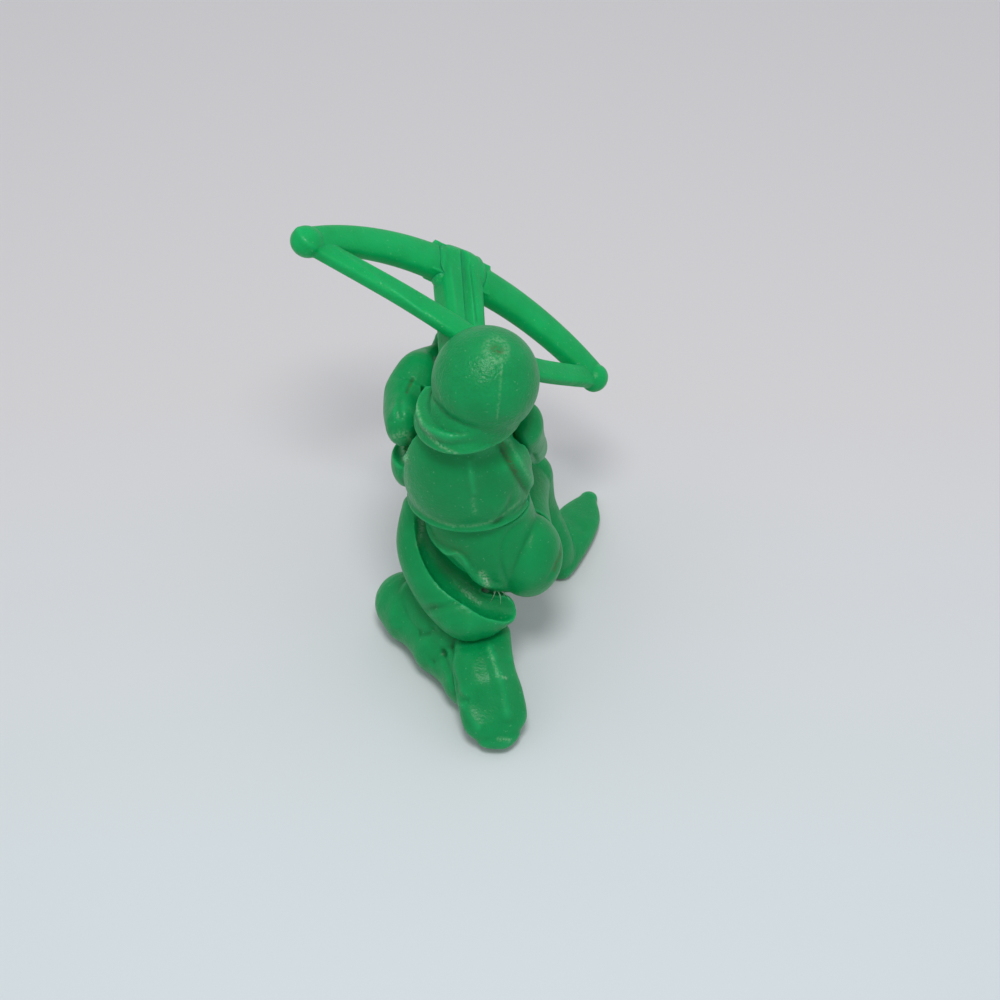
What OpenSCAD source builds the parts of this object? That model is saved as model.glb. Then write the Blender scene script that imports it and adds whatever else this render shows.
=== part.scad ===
// Kneeling toy crossbowman, moulded in soft green plastic.
// Ten mouldings plug together: legs into hips, torso on a waist peg, head on a neck peg, arms on shoulder
// pegs, and a crossbow whose grip peg sits in the right fist.
// The figure looks along +Y, its right side is +X, and the floor is Z = 0.

/* [Kneeling leg] */
// Knee centre to ankle centre
shin_l = 13.6; // [11:0.1:15]
// Thickness of the folded shin
shin_d = 6.2; // [5:0.1:6.8]
// Thickness of the knee
knee_d = 6.6; // [5.4:0.1:7.2]
// Heel to toe of the upturned boot
boot_l = 10.2; // [8.6:0.1:11]
// Width of the boot sole
boot_w = 7; // [5.4:0.1:7.8]
// Turn of the shin to the figure's left
kneel_turn = 36; // [28:1:44]

/* [Standing leg] */
// Seat of the thigh to the knee centre
thigh_l = 8; // [7:0.1:9.5]
// Thickness of the thigh
thigh_d = 6.2; // [5.2:0.1:6.8]
// Thickness of the calf
calf_d = 4.8; // [4:0.1:5.6]
// Height of the raised knee's centre
knee_h = 13; // [12:0.1:14]
// Heel to toe of the pointed shoe
shoe_l = 14; // [11:0.1:15]
// Width of the shoe
shoe_w = 5; // [4:0.1:6]
// Turn of the shoe to the figure's right
toe_out = 20; // [8:1:26]

/* [Hips and skirt] */
// Height of the skirt hem above the floor
hem_h = 7.6; // [7.2:0.1:8.4]
// Height of the plane on which the torso turns
waist_h = 20.5; // [19.5:0.1:22]
// Width of the waist
waist_w = 10.6; // [9:0.1:11.6]
// Depth of the waist
waist_d = 8.4; // [7.4:0.1:9.2]
// Width of the skirt at its hem
skirt_w = 11.8; // [10:0.1:12.6]
// Depth of the skirt at its hem
skirt_d = 11.6; // [10:0.1:12.4]
// Width of the right half of the seat
seat_w = 7.2; // [6:0.1:8]

/* [Torso] */
// Waist plane to the foot of the neck
torso_h = 12; // [11:0.1:13.5]
// Width of the jerkin at its hem
torso_w = 12.7; // [11.5:0.1:14]
// Depth of the jerkin at its hem
torso_d = 9.9; // [8.6:0.1:10.4]
// Distance between the two flat shoulder faces
shoulder_w = 8.8; // [8:0.1:9.6]
// Height of the shoulder pegs above the waist plane
shoulder_h = 8.7; // [8.2:0.1:9.2]

/* [Head] */
// Outer diameter of the helmet
helmet_d = 10.2; // [9.6:0.1:11]
// Thickness of the helmet's shell
helmet_wall = 1; // [0.8:0.05:1.2]
// How far the neck guard flares out past the helmet
guard_w = 0.25; // [0.1:0.05:0.5]
// Foot of the neck to the middle of the helmet
neck_l = 4.9; // [4.6:0.1:5.6]
// Lean of the neck to the figure's right
head_lean = 16; // [8:1:20]
// Nod of the head
head_nod = 10; // [4:1:12]

/* [Arms] */
// Thickness of the upper sleeves, side to side
sleeve_t = 3.4; // [2.8:0.1:3.8]
// Depth of the upper sleeves, front to back
sleeve_d = 4.6; // [3.8:0.1:5]
// Thickness of the sleeves at the wrist
wrist_d = 3; // [2.4:0.1:3.4]
// Size of the right fist
fist_d = 3.6; // [3.2:0.1:3.8]

/* [Crossbow] */
// Length of the stock
stock_l = 17.2; // [15:0.1:17.6]
// Width of the stock
stock_w = 4.8; // [3.8:0.1:5.2]
// Height of the stock
stock_h = 3; // [2.6:0.1:3.4]
// Straight distance between the bow's tips
bow_span = 34.6; // [28:0.1:38]
// How far the bow's tips lie behind its middle
bow_sag = 5.3; // [4:0.1:6.4]
// Depth of the bow at its middle
bow_d = 3.9; // [3:0.1:4.3]
// Thickness of the bow at its middle
bow_t = 2; // [1.4:0.1:2.2]
// Width of the string bars
string_w = 2.4; // [1.8:0.1:2.8]
// Thickness of the string bars
string_t = 1.5; // [1.1:0.1:1.8]
// Size of the knobs at the bow's tips
knob_d = 3.4; // [3.2:0.1:4]
// Turn of the bow on the stock
bow_skew = -7; // [-10:1:4]
// Cant of the crossbow, left tip up
cant = 34; // [26:1:38]
// Upward aim of the crossbow
aim_up = 10; // [4:1:12]
// Aim to the figure's left
aim_left = 4; // [0:1:7]

/* [Pegs and fits] */
// Diameter of the waist peg
waist_peg_d = 4; // [3:0.1:5]
// Length of the waist peg
waist_peg_l = 3.2; // [2.4:0.1:4]
// Diameter of the neck peg
neck_peg_d = 3; // [2.4:0.1:3.6]
// Length of the neck peg
neck_peg_l = 2.6; // [2:0.1:3]
// Diameter of the shoulder pegs
shoulder_peg_d = 2.4; // [1.8:0.1:2.8]
// Length of the shoulder pegs
shoulder_peg_l = 2; // [1.6:0.1:2.4]
// Diameter of the pegs that hold the legs
leg_peg_d = 3; // [2.4:0.1:3.4]
// Length of the pegs that hold the legs
leg_peg_l = 3; // [2.4:0.1:3.4]
// Diameter of the grip peg under the stock
grip_peg_d = 1.7; // [1.3:0.1:2]
// Length of the grip peg below the stock
grip_peg_l = 3.4; // [2.8:0.1:3.8]
// Radial clearance of a peg that turns or slides
turn_gap = 0.06; // [0.03:0.01:0.1]
// Radial clearance of a peg that is pressed home
press_gap = 0.02; // [0.01:0.01:0.04]
// Gap between faces that turn on each other
face_gap = 0.12; // [0.08:0.01:0.2]

/* [Hidden] */
body_green = "#149650";
bow_green = "#1eb964";
// Points round one ring of a lofted form, and steps between its stations
ring_n = 16;
small_n = 10;
step_n = 3;
cap_n = 3;
$fn = 40;
// A length that overshoots any cut
past = 40;

// Kneeling leg: the ankle is where the boot turns up
ankle = [0.3, 5.4, 0.47 * shin_d];
knee = ankle + shin_l * [-sin(kneel_turn), cos(kneel_turn), 0];
boot_way = [0.19, -0.8, -0.57];
boot_toe = [1.85, -0.1, 1.3];
boot_heel = boot_toe - (boot_l - 2) * boot_way;
leg_peg_at = ankle + 0.62 * (knee - ankle) + [0.9, 0.7, 0];

// Hips
waist = [-0.6, 15.2, waist_h];
skirt_at = [-2.4, 15, hem_h];
// The fold's path: shares of the skirt's width and depth, height over the hem, half thickness
fold_path = [[-0.25, 0.1, 10.4, 2.4], [-0.28, -0.04, 6.6, 2.7], [-0.15, -0.22, 3.4, 2.9],
  [0.06, -0.45, 1.9, 2.8], [0.2, -0.47, 1.6, 2.5], [0.31, -0.44, 1.5, 2.05], [0.41, -0.4, 1.5, 1.6]];
// The deep valley between the fold and the tier above it, in the same terms
valley_path = [[-0.27, -0.15, 9.4, 0.6], [-0.2, -0.22, 7.6, 1.1], [-0.09, -0.29, 5.9, 1.5], [0.055, -0.38, 4.8, 1.7],
  [0.225, -0.48, 3.8, 1.5], [0.38, -0.49, 3, 1.3], [0.56, -0.55, 2, 1.1]];
seat_at = [4.7, 13.7, 13.6];

// Standing leg: its thigh seats on a flat of the hips
thigh_seat = [4.3, 17.4, 13.2];
raised_knee = [thigh_seat.x + 0.6, thigh_seat.y + thigh_l, knee_h];
shoe_heel = [7.6, 22.4, 0];
shoe_way = [sin(toe_out), cos(toe_out), 0];

// Torso, from the waist plane up
torso_base = waist_h + face_gap;
torso_at = [-1.1, 14.8, torso_base];
shoulder = [torso_at.x - 0.1, torso_at.y + 1.8, torso_base + shoulder_h];
shoulder_left = shoulder.x - shoulder_w / 2;
shoulder_right = shoulder.x + shoulder_w / 2;
// Room round the shoulder axis for the sleeves, and from it down past the right elbow
arm_room = sleeve_d / 2 + 0.5;
elbow_drop = 8.4;

// Head: its axis leans from the foot of the neck
neck_foot = [-0.7, 13.65, torso_base + torso_h];
head_turned = [-head_nod, head_lean, 0];
skull_r = helmet_d / 2 - helmet_wall - press_gap;
face_top = 0.6;
dome_rise = 1.04;
// The helmet's rim is nearly level, so it reaches far down on the side away from the lean
rim_at = [-0.3, 0.3, -4.5];
rim_turned = [head_nod, -head_lean - 8, 0];
wall_foot = -6.6;
guard_h = 2;
// The guard sits off the middle, so that it shows as a crescent at the left and the back
guard_at = [-0.4, -0.1, 0];
guard_trim = 0.4;

// Crossbow: its own frame has x across, y towards the nose and z out of its top; the bow crosses at y = 0
bow_at = shoulder + [-1.15, 19.4, 2.2];
stock_nose = 2.6;
stock_tail = stock_nose - stock_l;
nut_y = stock_tail + 1.6;
grip_y = nut_y + 2.5;
nut_h = 0.5;
string_bend = 0.4;
grip_lean = 25;
palm_y = -6;
fist_drop = stock_h / 2 + face_gap + fist_d / 2;
limb_sweep = 2 * atan(2 * bow_sag / bow_span);
limb_r = bow_span / 2 / sin(limb_sweep);

// The row's origin is under the middle of the figure: half way between the bow's tips, and between the
// boot's toe and the crossbow's nose
middle_x = bow_at.x + bow_sag * (sin(bow_skew) * cos(cant) + cos(bow_skew) * sin(aim_left) * cos(aim_up));
boot_back = boot_toe.y - 1.25;
nose_front = bow_at.y + stock_nose * cos(aim_up) * cos(aim_left) + 0.5;
middle_y = (boot_back + nose_front) / 2;

function unit(v) = v / norm(v);
function across(ref, way) = unit(cross(ref, way));
// A point of the smooth curve through four stations, half way rules at its ends
function glide(a, b, c, d, t) =
  0.5 * (2 * b + (c - a) * t + (2 * a - 5 * b + 4 * c - d) * t * t + (3 * b - a - 3 * c + d) * t * t * t);
function smooth(st) = let(m = len(st) - 1)
  [for (i = [0:m - 1], k = [0:step_n - 1])
    glide(st[max(i - 1, 0)], st[i], st[i + 1], st[min(i + 2, m)], k / step_n), st[m]];
function spot(s) = [s[0], s[1], s[2]];
function oval(c, u, v, a, b, e, n) =
  [for (i = [0:n - 1]) let(w = 360 * i / n, x = cos(w), y = sin(w))
    c + a * sign(x) * pow(abs(x), e) * u + b * sign(y) * pow(abs(y), e) * v];

// A closed skin through stations [x, y, z, half width, half height], with rounded ends.
// ref is the direction that "height" leans towards, round below 1 makes the section squarer,
// ends gives how far each end bulges, in shares of its half height, and n is the points of a ring.
module loft(stations, ref = [0, 0, 1], round = 1, ends = [1, 1], n = ring_n) {
  st = smooth(stations);
  m = len(st);
  way = [for (i = [0:m - 1]) unit(spot(st[min(i + 1, m - 1)]) - spot(st[max(i - 1, 0)]))];
  function ring(i, grow, shift) = let(u = across(ref, way[i]), v = cross(way[i], u))
    oval(spot(st[i]) + shift * way[i], u, v, st[i][3] * grow, st[i][4] * grow, round, n);
  low = min(st[0][3], st[0][4]) * ends[0];
  high = min(st[m - 1][3], st[m - 1][4]) * ends[1];
  rings = concat(
    low > 0 ? [for (k = [cap_n - 1:-1:1]) ring(0, cos(90 * k / cap_n), -low * sin(90 * k / cap_n))] : [],
    [for (i = [0:m - 1]) ring(i, 1, 0)],
    high > 0 ? [for (k = [1:cap_n - 1]) ring(m - 1, cos(90 * k / cap_n), high * sin(90 * k / cap_n))] : []);
  r = len(rings);
  points = concat([spot(st[0]) - low * way[0]], [for (g = rings) each g],
    [spot(st[m - 1]) + high * way[m - 1]]);
  last = len(points) - 1;
  polyhedron(points, concat(
    [for (i = [0:n - 1]) [0, 1 + i, 1 + (i + 1) % n]],
    [for (k = [0:r - 2], i = [0:n - 1]) let(p = 1 + k * n, q = p + n, j = (i + 1) % n) each
      [[p + i, q + i, q + j], [p + i, q + j, p + j]]],
    [for (i = [0:n - 1]) let(p = 1 + (r - 1) * n) [last, p + (i + 1) % n, p + i]]));
}

// An egg with half sizes s about a point
module egg(at, s, n = ring_n) {
  tip = s.z * (1 - sin(60)) / (min(s.x, s.y) * cos(60));
  loft([for (w = [-60:30:60]) [at.x, at.y, at.z + s.z * sin(w), s.x * cos(w), s.y * cos(w)]],
    ref = [0, 1, 0], ends = [tip, tip], n = n);
}

// Joins lofted forms into one skin at their own size
module moulded() {
  resize([0, 0, 0]) union() children();
}

module above_floor() {
  intersection() {
    children();
    translate([-past, -past, 0]) cube(2 * past);
  }
}

// Moves the figure so that the origin lies under its middle
module placed() {
  translate([-middle_x, -middle_y, 0]) children();
}

module on_neck() {
  translate(neck_foot) rotate(head_turned) children();
}

module on_head() {
  on_neck() translate([0, 0, neck_l]) children();
}

module aimed() {
  translate(bow_at) rotate([0, 0, aim_left]) rotate([aim_up, 0, 0]) rotate([0, cant, 0]) children();
}

// The grip peg's own frame: z points the way the crossbow lifts off
module at_grip() {
  aimed() translate([0, grip_y, 0]) rotate([-grip_lean, 0, 0]) children();
}

// The room that the stock takes between the hands, open on top
module stock_room() {
  aimed() translate([-stock_w / 2 - face_gap, stock_tail - 1, -stock_h / 2 - face_gap])
    cube([stock_w + 2 * face_gap, stock_l + 2, stock_h + 4]);
}

module on_rim() {
  on_head() translate(rim_at) rotate(rim_turned) children();
}

module helmet() {
  r = helmet_d / 2;
  inner = skull_r + press_gap;
  waist_r = inner + 0.35 * helmet_wall;
  guard_r = r + guard_w - guard_trim;
  color(body_green) placed() difference() {
    union() {
      on_head() rotate_extrude() polygon(concat([[0, wall_foot], [waist_r, wall_foot]],
        [for (w = [-42:7:-1]) [max(waist_r, r * cos(w)), dome_rise * r * sin(w)]],
        [for (w = [0:7.5:90]) [r * cos(w), dome_rise * r * sin(w)]]));
      // Neck guard
      on_rim() translate(guard_at) rotate_extrude() polygon([[0, 0], [guard_r, 0], [guard_r, 0.5],
        [waist_r - 0.05, guard_h], [0, guard_h]]);
    }
    on_head() rotate_extrude() polygon(concat([[0, 2 * wall_foot], [inner, 2 * wall_foot]],
      [for (w = [0:7.5:90]) inner * [cos(w), sin(w)]]));
    on_rim() translate([0, 0, -past]) cylinder(r = past, h = past);
    // The face is open between the cheek edges
    on_head() translate([-past, 2.6, face_top - past]) cube([2 * past, past, past]);
  }
}

// Skull, a calm, plain face and the neck in one profile from crown to foot: brow, eye hollows, cheeks, lips
// and chin, as height, half width and half depth in shares of the skull's radius
module skull() {
  r = skull_r - face_gap;
  profile = [[0.92, 0.35, 0.35], [0.78, 0.57, 0.57], [0.46, 0.82, 0.82], [0.14, 0.93, 0.93], [-0.02, 0.93, 0.96],
    [-0.14, 0.92, 1.04], [-0.29, 0.89, 0.97], [-0.46, 0.86, 1.01], [-0.62, 0.79, 1], [-0.7, 0.76, 1.03],
    [-0.78, 0.72, 0.97], [-0.87, 0.69, 0.99], [-0.96, 0.67, 0.83]];
  neck_r = 0.67 * r;
  y = 0.07 * r;
  loft(concat([for (p = profile) [0, y, p[0] * r, p[1] * r, p[2] * r]],
    [[0, y, 0.5 * (face_gap - neck_l - 0.96 * r), neck_r, 1.05 * neck_r], [0, y, face_gap - neck_l, neck_r, neck_r]]),
    ref = [0, 1, 0], ends = [0.2, 0], n = 20);
  loft([for (p = [[1.02, -0.16, 0.09, 0.1], [1.13, -0.34, 0.115, 0.125], [1.15, -0.48, 0.15, 0.14]])
    [0, p[0] * r, p[1] * r, p[2] * r, p[3] * r]], ref = [0, 1, 0], n = small_n);
}

module head() {
  color(body_green) placed() difference() {
    moulded() on_head() skull();
    on_neck() translate([0, 0, -1]) cylinder(d = neck_peg_d + 2 * turn_gap, h = neck_peg_l + 1.2);
  }
}

module torso() {
  z0 = torso_base;
  color(body_green) placed() difference() {
    union() {
      difference() {
        moulded() {
          loft([[torso_at.x, torso_at.y, z0, torso_w * 0.42, torso_d * 0.43],
            [torso_at.x, torso_at.y, z0 + 0.5, torso_w * 0.468, torso_d * 0.485],
            [torso_at.x, torso_at.y, z0 + 1.1, torso_w * 0.465, torso_d * 0.48],
            [torso_at.x, torso_at.y, z0 + 1.9, torso_w * 0.48, torso_d * 0.49],
            [torso_at.x, torso_at.y - 0.1, z0 + 0.3 * torso_h, torso_w * 0.5, torso_d * 0.5],
            [torso_at.x, torso_at.y - 0.3, z0 + 0.55 * torso_h, torso_w * 0.49, torso_d * 0.47],
            [torso_at.x, torso_at.y - 0.6, z0 + 0.75 * torso_h, torso_w * 0.43, torso_d * 0.42],
            [torso_at.x + 0.2, torso_at.y - 0.9, z0 + 0.9 * torso_h, torso_w * 0.3, torso_d * 0.32],
            [neck_foot.x, neck_foot.y, z0 + torso_h + 0.4, 3.3, 3.1]],
            ref = [0, 1, 0], ends = [0, 0]);
          egg([torso_at.x - torso_w / 2 + 0.3, torso_at.y + 2.3, z0 + 2.9], [1.6, 2.3, 2.7], n = 14);
        }
        // Flat pockets in the sides, in which the sleeves swing
        translate([shoulder_right, shoulder.y - arm_room, shoulder.z - elbow_drop]) cube(past);
        translate([shoulder_left - past, shoulder.y - arm_room, shoulder.z - arm_room - 1.8]) cube(past);
        // The neck's seat
        on_neck() cylinder(r = past, h = past);
      }
      on_neck() translate([0, 0, -1]) cylinder(d = neck_peg_d, h = neck_peg_l + 1);
    }
    translate([waist.x, waist.y, z0 - 1]) cylinder(d = waist_peg_d + 2 * turn_gap, h = waist_peg_l + 1.2);
    translate([shoulder_right - shoulder_peg_l - 0.2, shoulder.y, shoulder.z]) rotate([0, 90, 0])
      cylinder(d = shoulder_peg_d + 2 * turn_gap, h = past);
    translate([shoulder_left + shoulder_peg_l + 0.2, shoulder.y, shoulder.z]) rotate([0, -90, 0])
      cylinder(d = shoulder_peg_d + 2 * turn_gap, h = past);
  }
}

module left_arm() {
  face_x = shoulder_left - face_gap;
  mid_x = face_x - sleeve_t / 2;
  color(body_green) placed() {
    difference() {
      moulded() {
        // Full sleeve, narrowing to the wrist
        loft([[mid_x, shoulder.y, shoulder.z, sleeve_t / 2, sleeve_d * 0.5],
          [mid_x - 0.1, shoulder.y + 2.6, shoulder.z - 0.7, sleeve_t * 0.56, sleeve_d * 0.52],
          [mid_x + 0.2, shoulder.y + 5, shoulder.z - 0.6, sleeve_t * 0.62, sleeve_d * 0.5],
          [mid_x + 0.9, shoulder.y + 7.2, shoulder.z - 0.2, wrist_d * 0.54, wrist_d * 0.58],
          [mid_x + 1.8, shoulder.y + 9.8, shoulder.z - 0.9, wrist_d * 0.4, wrist_d * 0.42],
          [mid_x + 3.2, shoulder.y + 11.8, shoulder.z - 1.9, wrist_d * 0.36, wrist_d * 0.36],
          [mid_x + 3.7, shoulder.y + 12.9, shoulder.z - 1.6, wrist_d * 0.34, wrist_d * 0.34]]);
        // Open hand under the stock, fingers across it
        aimed() loft([[-0.2, palm_y - 0.7, -stock_h / 2 - face_gap - 1.15, 0.95, 0.95],
          [0.7, palm_y - 0.3, -stock_h / 2 - face_gap - 1, 1.35, 0.92],
          [stock_w / 2 - 0.8, palm_y, -stock_h / 2 - face_gap - 0.8, 1.3, 0.75]]);
      }
      // Flat shoulder, and room for the stock
      translate([face_x, 0, shoulder.z - sleeve_d]) cube([past, shoulder.y + sleeve_d / 2 + 2, past]);
      stock_room();
    }
    translate([face_x - 0.6, shoulder.y, shoulder.z]) rotate([0, 90, 0])
      cylinder(d = shoulder_peg_d, h = shoulder_peg_l + 0.6);
  }
}

module right_arm() {
  face_x = shoulder_right + face_gap;
  mid_x = face_x + sleeve_t / 2;
  color(body_green) placed() {
    difference() {
      union() {
        moulded() {
          difference() {
            loft([[mid_x - 0.5, shoulder.y, shoulder.z, sleeve_t / 2, sleeve_d * 0.5],
              [mid_x - 0.4, shoulder.y + 0.8, shoulder.z - 2.2, sleeve_t / 2, sleeve_d * 0.5],
              [mid_x - 0.2, shoulder.y + 1.9, shoulder.z - 4.5, sleeve_t / 2, sleeve_d * 0.47],
              [mid_x, shoulder.y + 3.1, shoulder.z - 6.3, sleeve_t * 0.5, sleeve_d * 0.42]],
              ref = [0, 1, 0]);
            translate([face_x - past, 0, 0]) cube([past, past, past]);
          }
          loft([[mid_x, shoulder.y + 3.3, shoulder.z - 6.2, sleeve_t * 0.48, sleeve_d * 0.4],
            [mid_x - 1.7, shoulder.y + 5.2, shoulder.z - 5, wrist_d * 0.62, wrist_d * 0.6],
            [mid_x - 5, shoulder.y + 7, shoulder.z - 3.3, wrist_d * 0.52, wrist_d * 0.52],
            [mid_x - 7.2, shoulder.y + 7.7, shoulder.z - 2.6, wrist_d * 0.48, wrist_d * 0.48]]);
          at_grip() egg([0, 0, -fist_drop], [fist_d * 0.5, fist_d * 0.52, fist_d * 0.52]);
        }
        translate([face_x + 0.6, shoulder.y, shoulder.z]) rotate([0, -90, 0])
          cylinder(d = shoulder_peg_d, h = shoulder_peg_l + 0.6);
      }
      at_grip() translate([0, 0, -past]) cylinder(d = grip_peg_d + 2 * turn_gap, h = 2 * past);
      stock_room();
    }
  }
}

module leg_socket() {
  cylinder(d = leg_peg_d + 2 * press_gap, h = leg_peg_l + 1.2);
}

// A round form along a path given in the skirt's terms
module along_skirt(path, ends) {
  loft([for (f = path) [skirt_at.x + f[0] * skirt_w, skirt_at.y + f[1] * skirt_d, hem_h + f[2], f[3], f[3]]],
    ends = ends);
}

module hips() {
  color(body_green) placed() difference() {
    union() {
      difference() {
        moulded() difference() {
          union() {
            // Waist and seat lean to the right as they go down
            loft([[waist.x - 0.3, waist.y, waist_h + 2, waist_w * 0.49, waist_d * 0.46],
              [waist.x, waist.y, waist_h, waist_w / 2, waist_d / 2],
              [waist.x + 0.5, waist.y - 0.2, waist_h - 2, waist_w * 0.51, waist_d * 0.56],
              [waist.x + 1.7, waist.y - 0.3, waist_h - 5, waist_w * 0.47, waist_d * 0.6],
              [waist.x + 3, waist.y - 0.2, waist_h - 8, waist_w * 0.4, waist_d * 0.54],
              [waist.x + 3.6, waist.y, waist_h - 9.6, waist_w * 0.3, waist_d * 0.42]],
              ref = [0, 1, 0], ends = [0, 0.6]);
            egg(seat_at, [seat_w / 2, 3.8, 4.8]);
            // Skirt: a core, and the thick fold that sweeps back round the left leg to its cuff
            loft([[skirt_at.x, skirt_at.y, hem_h, skirt_w * 0.36, skirt_d * 0.3],
              [skirt_at.x + 0.3, skirt_at.y, hem_h + 4, skirt_w * 0.36, skirt_d * 0.28],
              [skirt_at.x + 0.6, skirt_at.y, waist_h - 3, skirt_w * 0.34, skirt_d * 0.28]],
              ref = [0, 1, 0], ends = [0, 0.5]);
            along_skirt(fold_path, [0.6, 0.7]);
          }
          along_skirt(valley_path, [1, 1]);
        }
        // Flat seat for the raised thigh
        translate([thigh_seat.x - thigh_d / 2 - 0.3, thigh_seat.y, -1])
          cube([past, past, thigh_seat.z + thigh_d / 2 + 1.6]);
        // Flat top on which the torso turns, and flat hem
        translate([-past, -past, waist_h]) cube(2 * past);
        translate([-past, -past, hem_h - past]) cube([2 * past, 2 * past, past]);
      }
      translate([waist.x, waist.y, waist_h - 1]) cylinder(d = waist_peg_d, h = waist_peg_l + 1);
    }
    translate([leg_peg_at.x, leg_peg_at.y, hem_h - 1]) leg_socket();
    translate(thigh_seat + [0, 1, 0]) rotate([90, 0, 0]) leg_socket();
  }
}

module left_leg() {
  boot_mid = (boot_heel + boot_toe) / 2;
  color(body_green) placed() above_floor() {
    moulded() {
      loft([for (f = [0:0.125:1]) let(p = ankle + f * (knee - ankle), fold = 0.18 * sin(360 * f * 2.5),
        r = shin_d / 2 + (knee_d - shin_d) / 2 * f + fold) [p.x, p.y, p.z + 0.15 * f, r, r]]);
      loft([[boot_heel.x - 0.2, boot_heel.y + 1.3, boot_heel.z - 0.1, boot_w * 0.36, 1.2],
        [boot_heel.x - 0.1, boot_heel.y, boot_heel.z, boot_w * 0.43, 1.5],
        [boot_heel.x + 0.3, boot_heel.y - 1.8, boot_heel.z - 1.2, boot_w * 0.46, 2.2],
        [boot_mid.x, boot_mid.y, boot_mid.z, boot_w * 0.48, 2.1],
        [boot_mid.x + 0.5, boot_mid.y - 2, boot_mid.z - 1.35, boot_w * 0.46, 1.75],
        [boot_toe.x, boot_toe.y + 0.3, boot_toe.z + 0.15, boot_w * 0.32, 1.25]], round = 0.9, ends = [0.7, 1]);
      // Instep between the boot and the shin
      egg([ankle.x + 0.2, ankle.y - 0.6, ankle.z + 0.2], [3.1, 3.1, shin_d * 0.52]);
      translate([leg_peg_at.x, leg_peg_at.y, 2]) cylinder(d = leg_peg_d + 1, h = hem_h - 2 - face_gap);
    }
    translate([leg_peg_at.x, leg_peg_at.y, hem_h - 1]) cylinder(d = leg_peg_d, h = leg_peg_l + 1);
  }
}

module right_leg() {
  instep = shoe_heel + 2 * shoe_way;
  ball = shoe_heel + 0.42 * shoe_l * shoe_way;
  vamp = shoe_heel + 0.65 * shoe_l * shoe_way;
  toe = shoe_heel + (shoe_l - 2.4) * shoe_way;
  color(body_green) placed() above_floor() {
    moulded() difference() {
      union() {
        loft([[thigh_seat.x, thigh_seat.y - 0.6, thigh_seat.z, thigh_d * 0.5, thigh_d * 0.5],
          [thigh_seat.x + 0.2, thigh_seat.y + 0.4 * thigh_l, thigh_seat.z + 0.2, thigh_d * 0.49, thigh_d * 0.5],
          [raised_knee.x - 0.1, raised_knee.y - 0.2 * thigh_l, knee_h + 0.1, thigh_d * 0.46, thigh_d * 0.47],
          [raised_knee.x, raised_knee.y, knee_h - 0.1, thigh_d * 0.43, thigh_d * 0.43]], ends = [0, 0.9]);
        loft([[raised_knee.x, raised_knee.y, knee_h - 0.2, thigh_d * 0.42, thigh_d * 0.42],
          [raised_knee.x + 0.5, raised_knee.y - 0.3, 0.66 * knee_h, calf_d * 0.52, calf_d * 0.55],
          [shoe_heel.x - 0.2, shoe_heel.y + 1.4, 0.36 * knee_h, calf_d * 0.43, calf_d * 0.45],
          [shoe_heel.x + 0.2, shoe_heel.y + 1.6, 2, calf_d * 0.45, calf_d * 0.5]], ref = [0, 1, 0]);
        loft([[shoe_heel.x + 0.2, shoe_heel.y + 0.6, 1.25, shoe_w * 0.38, 1.4],
          [instep.x, instep.y, 1.35, shoe_w * 0.44, 1.55], [ball.x, ball.y, 1.2, shoe_w * 0.5, 1.4],
          [vamp.x, vamp.y, 0.85, shoe_w * 0.44, 1], [toe.x, toe.y, 0.6, shoe_w * 0.2, 0.7]],
          round = 0.9, ends = [0.8, 1.8]);
      }
      // Flat that seats on the hips
      translate([-past, thigh_seat.y + face_gap - past, thigh_seat.z - thigh_d]) cube([2 * past, past, past]);
    }
    translate(thigh_seat + [0, 1, 0]) rotate([90, 0, 0]) cylinder(d = leg_peg_d, h = leg_peg_l + 1);
  }
}

module crossbow_stock() {
  top = stock_h / 2;
  edge = 0.5;
  color(bow_green) placed() difference() {
    union() {
      aimed() intersection() {
        rotate([90, 0, 90]) translate([0, 0, -stock_w / 2]) linear_extrude(stock_w)
          polygon([[stock_tail, -top * 0.4], [stock_tail + 0.6, -top], [stock_nose - 1.5, -top],
            [stock_nose - 0.5, -top * 0.7], [stock_nose, 0], [stock_nose - 0.15, top * 0.6],
            [stock_nose - 0.9, top], [nut_y + 1.2, top], [nut_y + 0.9, top + nut_h],
            [nut_y - 0.5, top + nut_h], [nut_y - 0.8, top],
            [stock_tail + 0.4, top], [stock_tail, top * 0.6]]);
        // Broken lower edges
        rotate([90, 0, 0]) translate([0, 0, -past]) linear_extrude(2 * past)
          polygon([[-stock_w / 2, past], [-stock_w / 2, edge - top], [edge - stock_w / 2, -top],
            [stock_w / 2 - edge, -top], [stock_w / 2, edge - top], [stock_w / 2, past]]);
      }
      at_grip() translate([0, 0, -stock_h / 2 - grip_peg_l]) cylinder(d = grip_peg_d, h = grip_peg_l + 1);
    }
    // Groove for the bolt, slot for the bow
    aimed() translate([0, nut_y + 1.6, top + 0.25]) rotate([-90, 0, 0]) cylinder(d = 1.1, h = past);
    aimed() rotate([0, 0, bow_skew]) translate([-past / 2, -bow_d / 2 - press_gap, -bow_t / 2 - press_gap])
      cube([past, bow_d + 2 * press_gap, bow_t + 2 * press_gap]);
  }
}

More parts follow.
